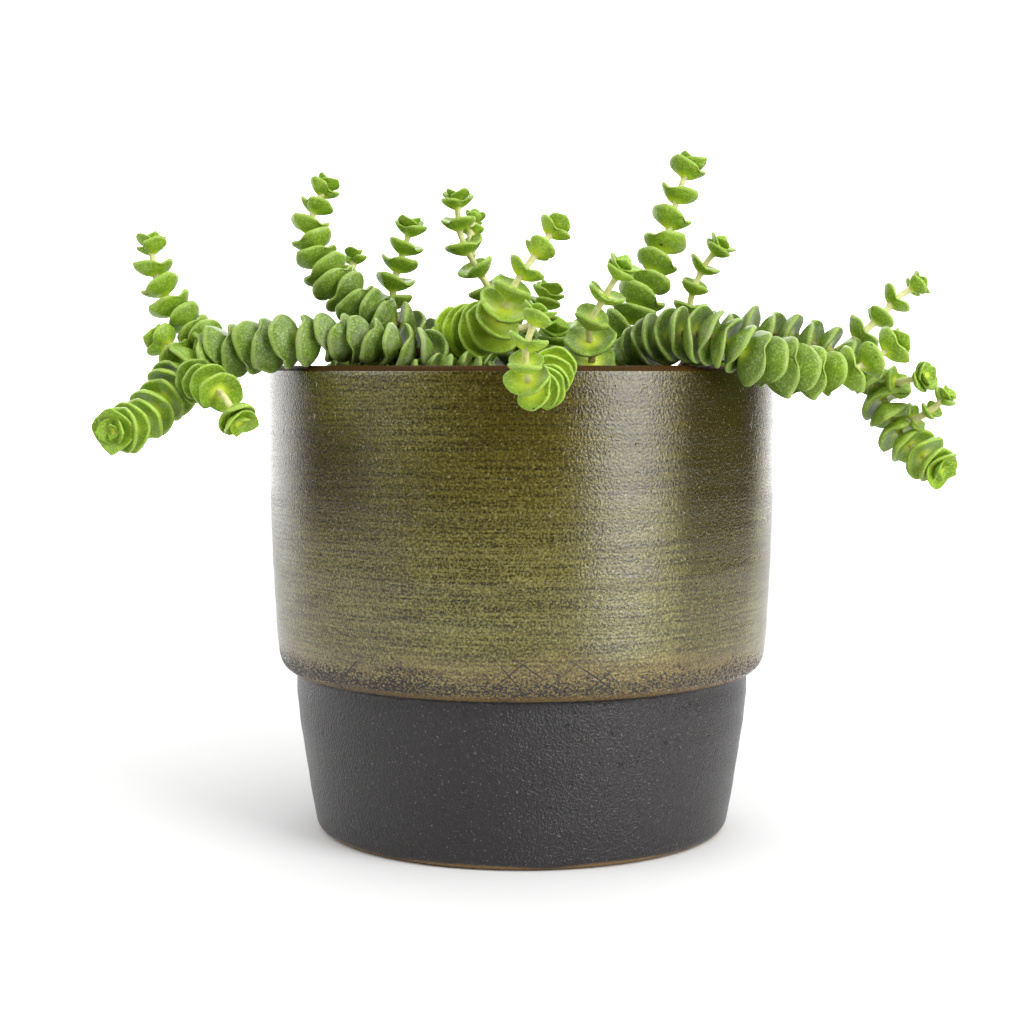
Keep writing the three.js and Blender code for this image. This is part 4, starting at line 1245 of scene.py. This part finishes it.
class JADE_OT_pot(bpy.types.Operator):
    """Turn the stoneware pot, with its foot, step, glazed wall and open inside"""

    bl_idname = "jade.pot"
    bl_label = "Pot"

    def execute(self, context):
        pot = context.scene.jade_pot
        rim, top, step = pot.rim_radius, pot.height, pot.step_height
        foot = [(POT_MIDDLE, 0), (pot.base_radius, 0), *FOOT_WALL, (pot.foot_radius, FOOT_TOP),
                (pot.foot_radius, step - MM)]
        body = [(radius, step + rise) for radius, rise in BODY_START]
        edge = [(rim, top - EDGE_ROUND), (rim - EDGE_ROUND, top),
                (rim - pot.wall + EDGE_ROUND, top), (rim - pot.wall, top - EDGE_ROUND)]
        inside = [*INSIDE_WALL, (INSIDE_FLOOR, pot.floor), (POT_MIDDLE, pot.floor)]
        profile = rounded([*foot, *body, *BODY_WALL, *edge, *inside], EDGE_ROUND)
        skin = Skin()
        angle = np.arange(pot.sides) * 2 * math.pi / pot.sides
        rings = []
        for radius, height in profile:
            sway = (np.sin(2 * angle + 21 * height) + 0.6 * np.sin(3 * angle + 2 - 30 * height)
                    + 0.35 * math.sin(height / THROWING_RINGS))
            outer = radius + pot.wobble * sway * min(height / WOBBLE_START, 1) * 0.5
            rings.append(np.stack([outer * np.cos(angle), outer * np.sin(angle),
                                   np.full(pot.sides, height)], axis=1))
        skin.loft(np.array(rings), 0)
        piece = skin.make("glazed_pot", [glaze_material(), clay_material(), inside_material(),
                                         rim_material()])
        self.share_out(piece, pot)
        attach(piece, "root")
        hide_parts("pot")
        return {"FINISHED"}

    def share_out(self, piece, pot):
        """Gives each face of the pot its finish by where it lies on the wall."""
        for face in piece.data.polygons:
            x, y, z = face.center
            radius = math.hypot(x, y)
            inward = face.normal.x * x + face.normal.y * y < -0.2 * radius
            on_floor = pot.floor - MM < z < pot.floor + MM and radius < pot.base_radius - 2 * MM
            if z > pot.height - EDGE_ROUND:
                face.material_index = RIM
            elif z < pot.height - 1.3 * MM and (inward or on_floor):
                face.material_index = INSIDE
            elif z < pot.step_height - 0.2 * MM:
                face.material_index = CLAY
            else:
                face.material_index = GLAZE


class JADE_OT_soil(bpy.types.Operator):
    """Fill the pot with lumpy potting soil and scatter loose crumbs over it"""

    bl_idname = "jade.soil"
    bl_label = "Soil"

    def execute(self, context):
        soil = context.scene.jade_soil
        pot = context.scene.jade_pot
        edge = pot.rim_radius - pot.wall - 2 * SOIL_PLAY
        bottom = pot.floor + SOIL_PLAY
        skin = Skin()
        angle = np.arange(SOIL_SIDES) * 2 * math.pi / SOIL_SIDES
        outline = [(SOIL_MIDDLE, bottom), (INSIDE_FLOOR - SOIL_PLAY, bottom)]
        outline += [(radius - SOIL_PLAY, height) for radius, height in reversed(INSIDE_WALL)]
        outline += [(edge, soil.top - MM)]
        outline += [(edge * (1 - k / SOIL_ROWS), soil.top) for k in range(1, SOIL_ROWS)]
        rings = []
        for radius, height in outline:
            x, y = radius * np.cos(angle), radius * np.sin(angle)
            z = np.full(SOIL_SIDES, height)
            if height > soil.top - 2 * MM:
                z = z + soil.lumps * self.lump(x, y) + SOIL_CLIMB * (radius / edge) ** 8
            rings.append(np.stack([x, y, z], axis=1))
        skin.loft(np.array(rings), 0)
        for k in range(soil.crumbs):
            self.crumb(skin, k, edge, soil)
        piece = skin.make("potting_soil", [soil_material()])
        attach(piece, "root")
        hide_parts("soil")
        return {"FINISHED"}

    def lump(self, x, y):
        """Unevenness of the surface, as crossed waves."""
        return (np.sin(x * 410 + 2) * np.cos(y * 370) + 0.6 * np.sin(x * 900 + y * 760)
                + 0.4 * np.sin(y * 1500 - x * 1300 + 1))

    def crumb(self, skin, k, edge, soil):
        """One rough crumb, pressed a little into the surface."""
        radius = edge * 0.97 * math.sqrt(draw(51, k))
        turn = 2 * math.pi * draw(52, k)
        size = MM * (0.5 + 1.5 * draw(53, k) ** 3)
        centre = np.array([radius * math.cos(turn), radius * math.sin(turn), soil.top + 0.3 * size])
        centre[2] += soil.lumps * float(self.lump(centre[0], centre[1])) * 0.8
        angle = np.arange(CRUMB_SIDES) * 2 * math.pi / CRUMB_SIDES
        rings = []
        for row, (reach, rise) in enumerate(CRUMB_RINGS):
            first = CRUMB_SIDES * row
            rough = np.array([1 + 0.3 * play(54 + k, first + n) for n in range(CRUMB_SIDES)])
            rings.append(np.stack([size * reach * rough * np.cos(angle) * 1.3,
                                   size * reach * rough * np.sin(angle),
                                   np.full(CRUMB_SIDES, size * rise * 0.7)], axis=1))
        skin.loft(np.array(rings) + centre, 0)


class JADE_OT_stems(bpy.types.Operator):
    """Grow the leafy stems in the places of their plain solids"""

    bl_idname = "jade.stems"
    bl_label = "Leafy Stems"

    def execute(self, context):
        for stem in STEMS:
            piece = leafy_piece(stem, context.scene.jade_leaves, f"leafy_{stem[0]}")
            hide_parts(stem[0])
        return {"FINISHED"}


class JADE_OT_low_shoots(bpy.types.Operator):
    """Grow the short shoots that creep over the soil between the stems"""

    bl_idname = "jade.low_shoots"
    bl_label = "Low Shoots"

    def execute(self, context):
        for stem in LOW_SHOOTS:
            leafy_piece(stem, context.scene.jade_leaves, f"leafy_{stem[0]}", light=LOW_LIGHT)
        return {"FINISHED"}


class JADE_OT_stage(bpy.types.Operator):
    """Set up the pale floor, the soft lights and the camera"""

    bl_idname = "jade.stage"
    bl_label = "Stage"

    def execute(self, context):
        stage = context.scene.jade_stage
        self.floor(context, stage)
        for name, power, place, size, aim in SOFTBOXES:
            self.softbox(name, getattr(stage, power), place, size, aim)
        self.sun(stage)
        self.surround(context, stage)
        self.camera(context, stage)
        context.scene.view_settings.view_transform = "Standard"
        return {"FINISHED"}

    def floor(self, context, stage):
        """The pale floor, a little under the base so that the two don't share a plane."""
        mesh = bpy.data.meshes.new("floor")
        side, front, back = stage.floor_side, -stage.floor_front, stage.floor_back
        mesh.from_pydata([(-side, front, 0), (side, front, 0), (side, back, 0), (-side, back, 0)],
                         [], [(0, 1, 2, 3)])
        material, _, shader = new_material("Pale Floor")
        shader.inputs["Base Color"].default_value = (*stage.floor_colour, 1)
        shader.inputs["Roughness"].default_value = 0.9
        shader.inputs["Specular IOR Level"].default_value = 0.1
        mesh.materials.append(material)
        floor = bpy.data.objects.new("floor", mesh)
        floor.location.z = -FLOOR_DROP
        context.scene.collection.objects.link(floor)

    def softbox(self, name, power, place, size, aim):
        """A rectangular light that faces the place it is aimed at."""
        lamp = bpy.data.lights.new(name, "AREA")
        lamp.shape = "RECTANGLE"
        lamp.size, lamp.size_y = size
        lamp.energy = power
        box = bpy.data.objects.new(name, lamp)
        box.location = place
        way = Vector(aim) - Vector(place)
        box.rotation_euler = way.to_track_quat("-Z", "Y").to_euler()
        bpy.context.scene.collection.objects.link(box)

    def sun(self, stage):
        """Even soft light over the whole floor."""
        lamp = bpy.data.lights.new("Even Light", "SUN")
        lamp.energy = stage.sun_strength
        lamp.angle = SUN_SPREAD
        sun = bpy.data.objects.new("Even Light", lamp)
        sun.rotation_euler = Vector(SUN_WAY).to_track_quat("-Z", "Y").to_euler()
        bpy.context.scene.collection.objects.link(sun)

    def surround(self, context, stage):
        """A studio: a white wall behind, a bright ceiling, dark sides and pure white to the eye."""
        world = bpy.data.worlds.new("White Studio")
        world.use_nodes = True
        graph = Graph(world.node_tree)
        shade = world.node_tree.nodes["Background"]
        way = graph.add("ShaderNodeSeparateXYZ",
                        {0: graph.add("ShaderNodeTexCoord").outputs["Generated"]}).outputs
        slant = graph.math("MULTIPLY_ADD", way["X"], WALL_SLANT, way["Y"])
        behind = graph.span(slant, 0.52, 0.8, stage.room, stage.surround)
        above = graph.span(way["Z"], 0.4, 0.7, 0.0, stage.dome)
        light = graph.most(behind, above)
        seen = graph.add("ShaderNodeLightPath").outputs["Is Camera Ray"]
        strength = graph.most(light, seen)
        graph.feed(shade.inputs["Strength"], strength)
        shade.inputs["Color"].default_value = (1, 1, 1, 1)
        context.scene.world = world

    def camera(self, context, stage):
        """The camera of the photograph, level with the rim and looking down a little."""
        lens = bpy.data.cameras.new("Camera")
        lens.sensor_width = SENSOR_WIDTH
        lens.lens = SENSOR_WIDTH * stage.focal_pixels / FRAME_PIXELS
        lens.clip_start, lens.clip_end = 0.01, 50
        camera = bpy.data.objects.new("Camera", lens)
        camera.location = (stage.sideways, -stage.distance, stage.camera_height)
        camera.rotation_euler = (math.pi / 2 - stage.pitch, 0, 0)
        context.scene.collection.objects.link(camera)
        context.scene.camera = camera


OPERATORS = (JADE_OT_pot, JADE_OT_soil, JADE_OT_stems, JADE_OT_low_shoots, JADE_OT_stage)
SETTINGS = {"jade_pot": PotSettings, "jade_leaves": LeafSettings, "jade_soil": SoilSettings,
            "jade_stage": StageSettings}


class JADE_PT_panel(bpy.types.Panel):
    """Lists the settings and the pieces of the potted plant"""

    bl_label = "Jade Necklace"
    bl_space_type = "VIEW_3D"
    bl_region_type = "UI"
    bl_category = "Jade Necklace"

    def draw(self, context):
        for operator in OPERATORS:
            self.layout.operator(operator.bl_idname)
        for name, group in SETTINGS.items():
            box = self.layout.box()
            for value in group.__annotations__:
                box.prop(getattr(context.scene, name), value)


def register():
    for group in SETTINGS.values():
        bpy.utils.register_class(group)
    for name, group in SETTINGS.items():
        setattr(bpy.types.Scene, name, PointerProperty(type=group))
    for operator in (*OPERATORS, JADE_PT_panel):
        bpy.utils.register_class(operator)


def unregister():
    for operator in reversed((*OPERATORS, JADE_PT_panel)):
        bpy.utils.unregister_class(operator)
    for name, group in SETTINGS.items():
        delattr(bpy.types.Scene, name)
        bpy.utils.unregister_class(group)


def main():
    register()
    bpy.ops.jade.pot()
    bpy.ops.jade.soil()
    bpy.ops.jade.stems()
    bpy.ops.jade.low_shoots()
    bpy.ops.jade.stage()


if __name__ == "__main__":
    main()
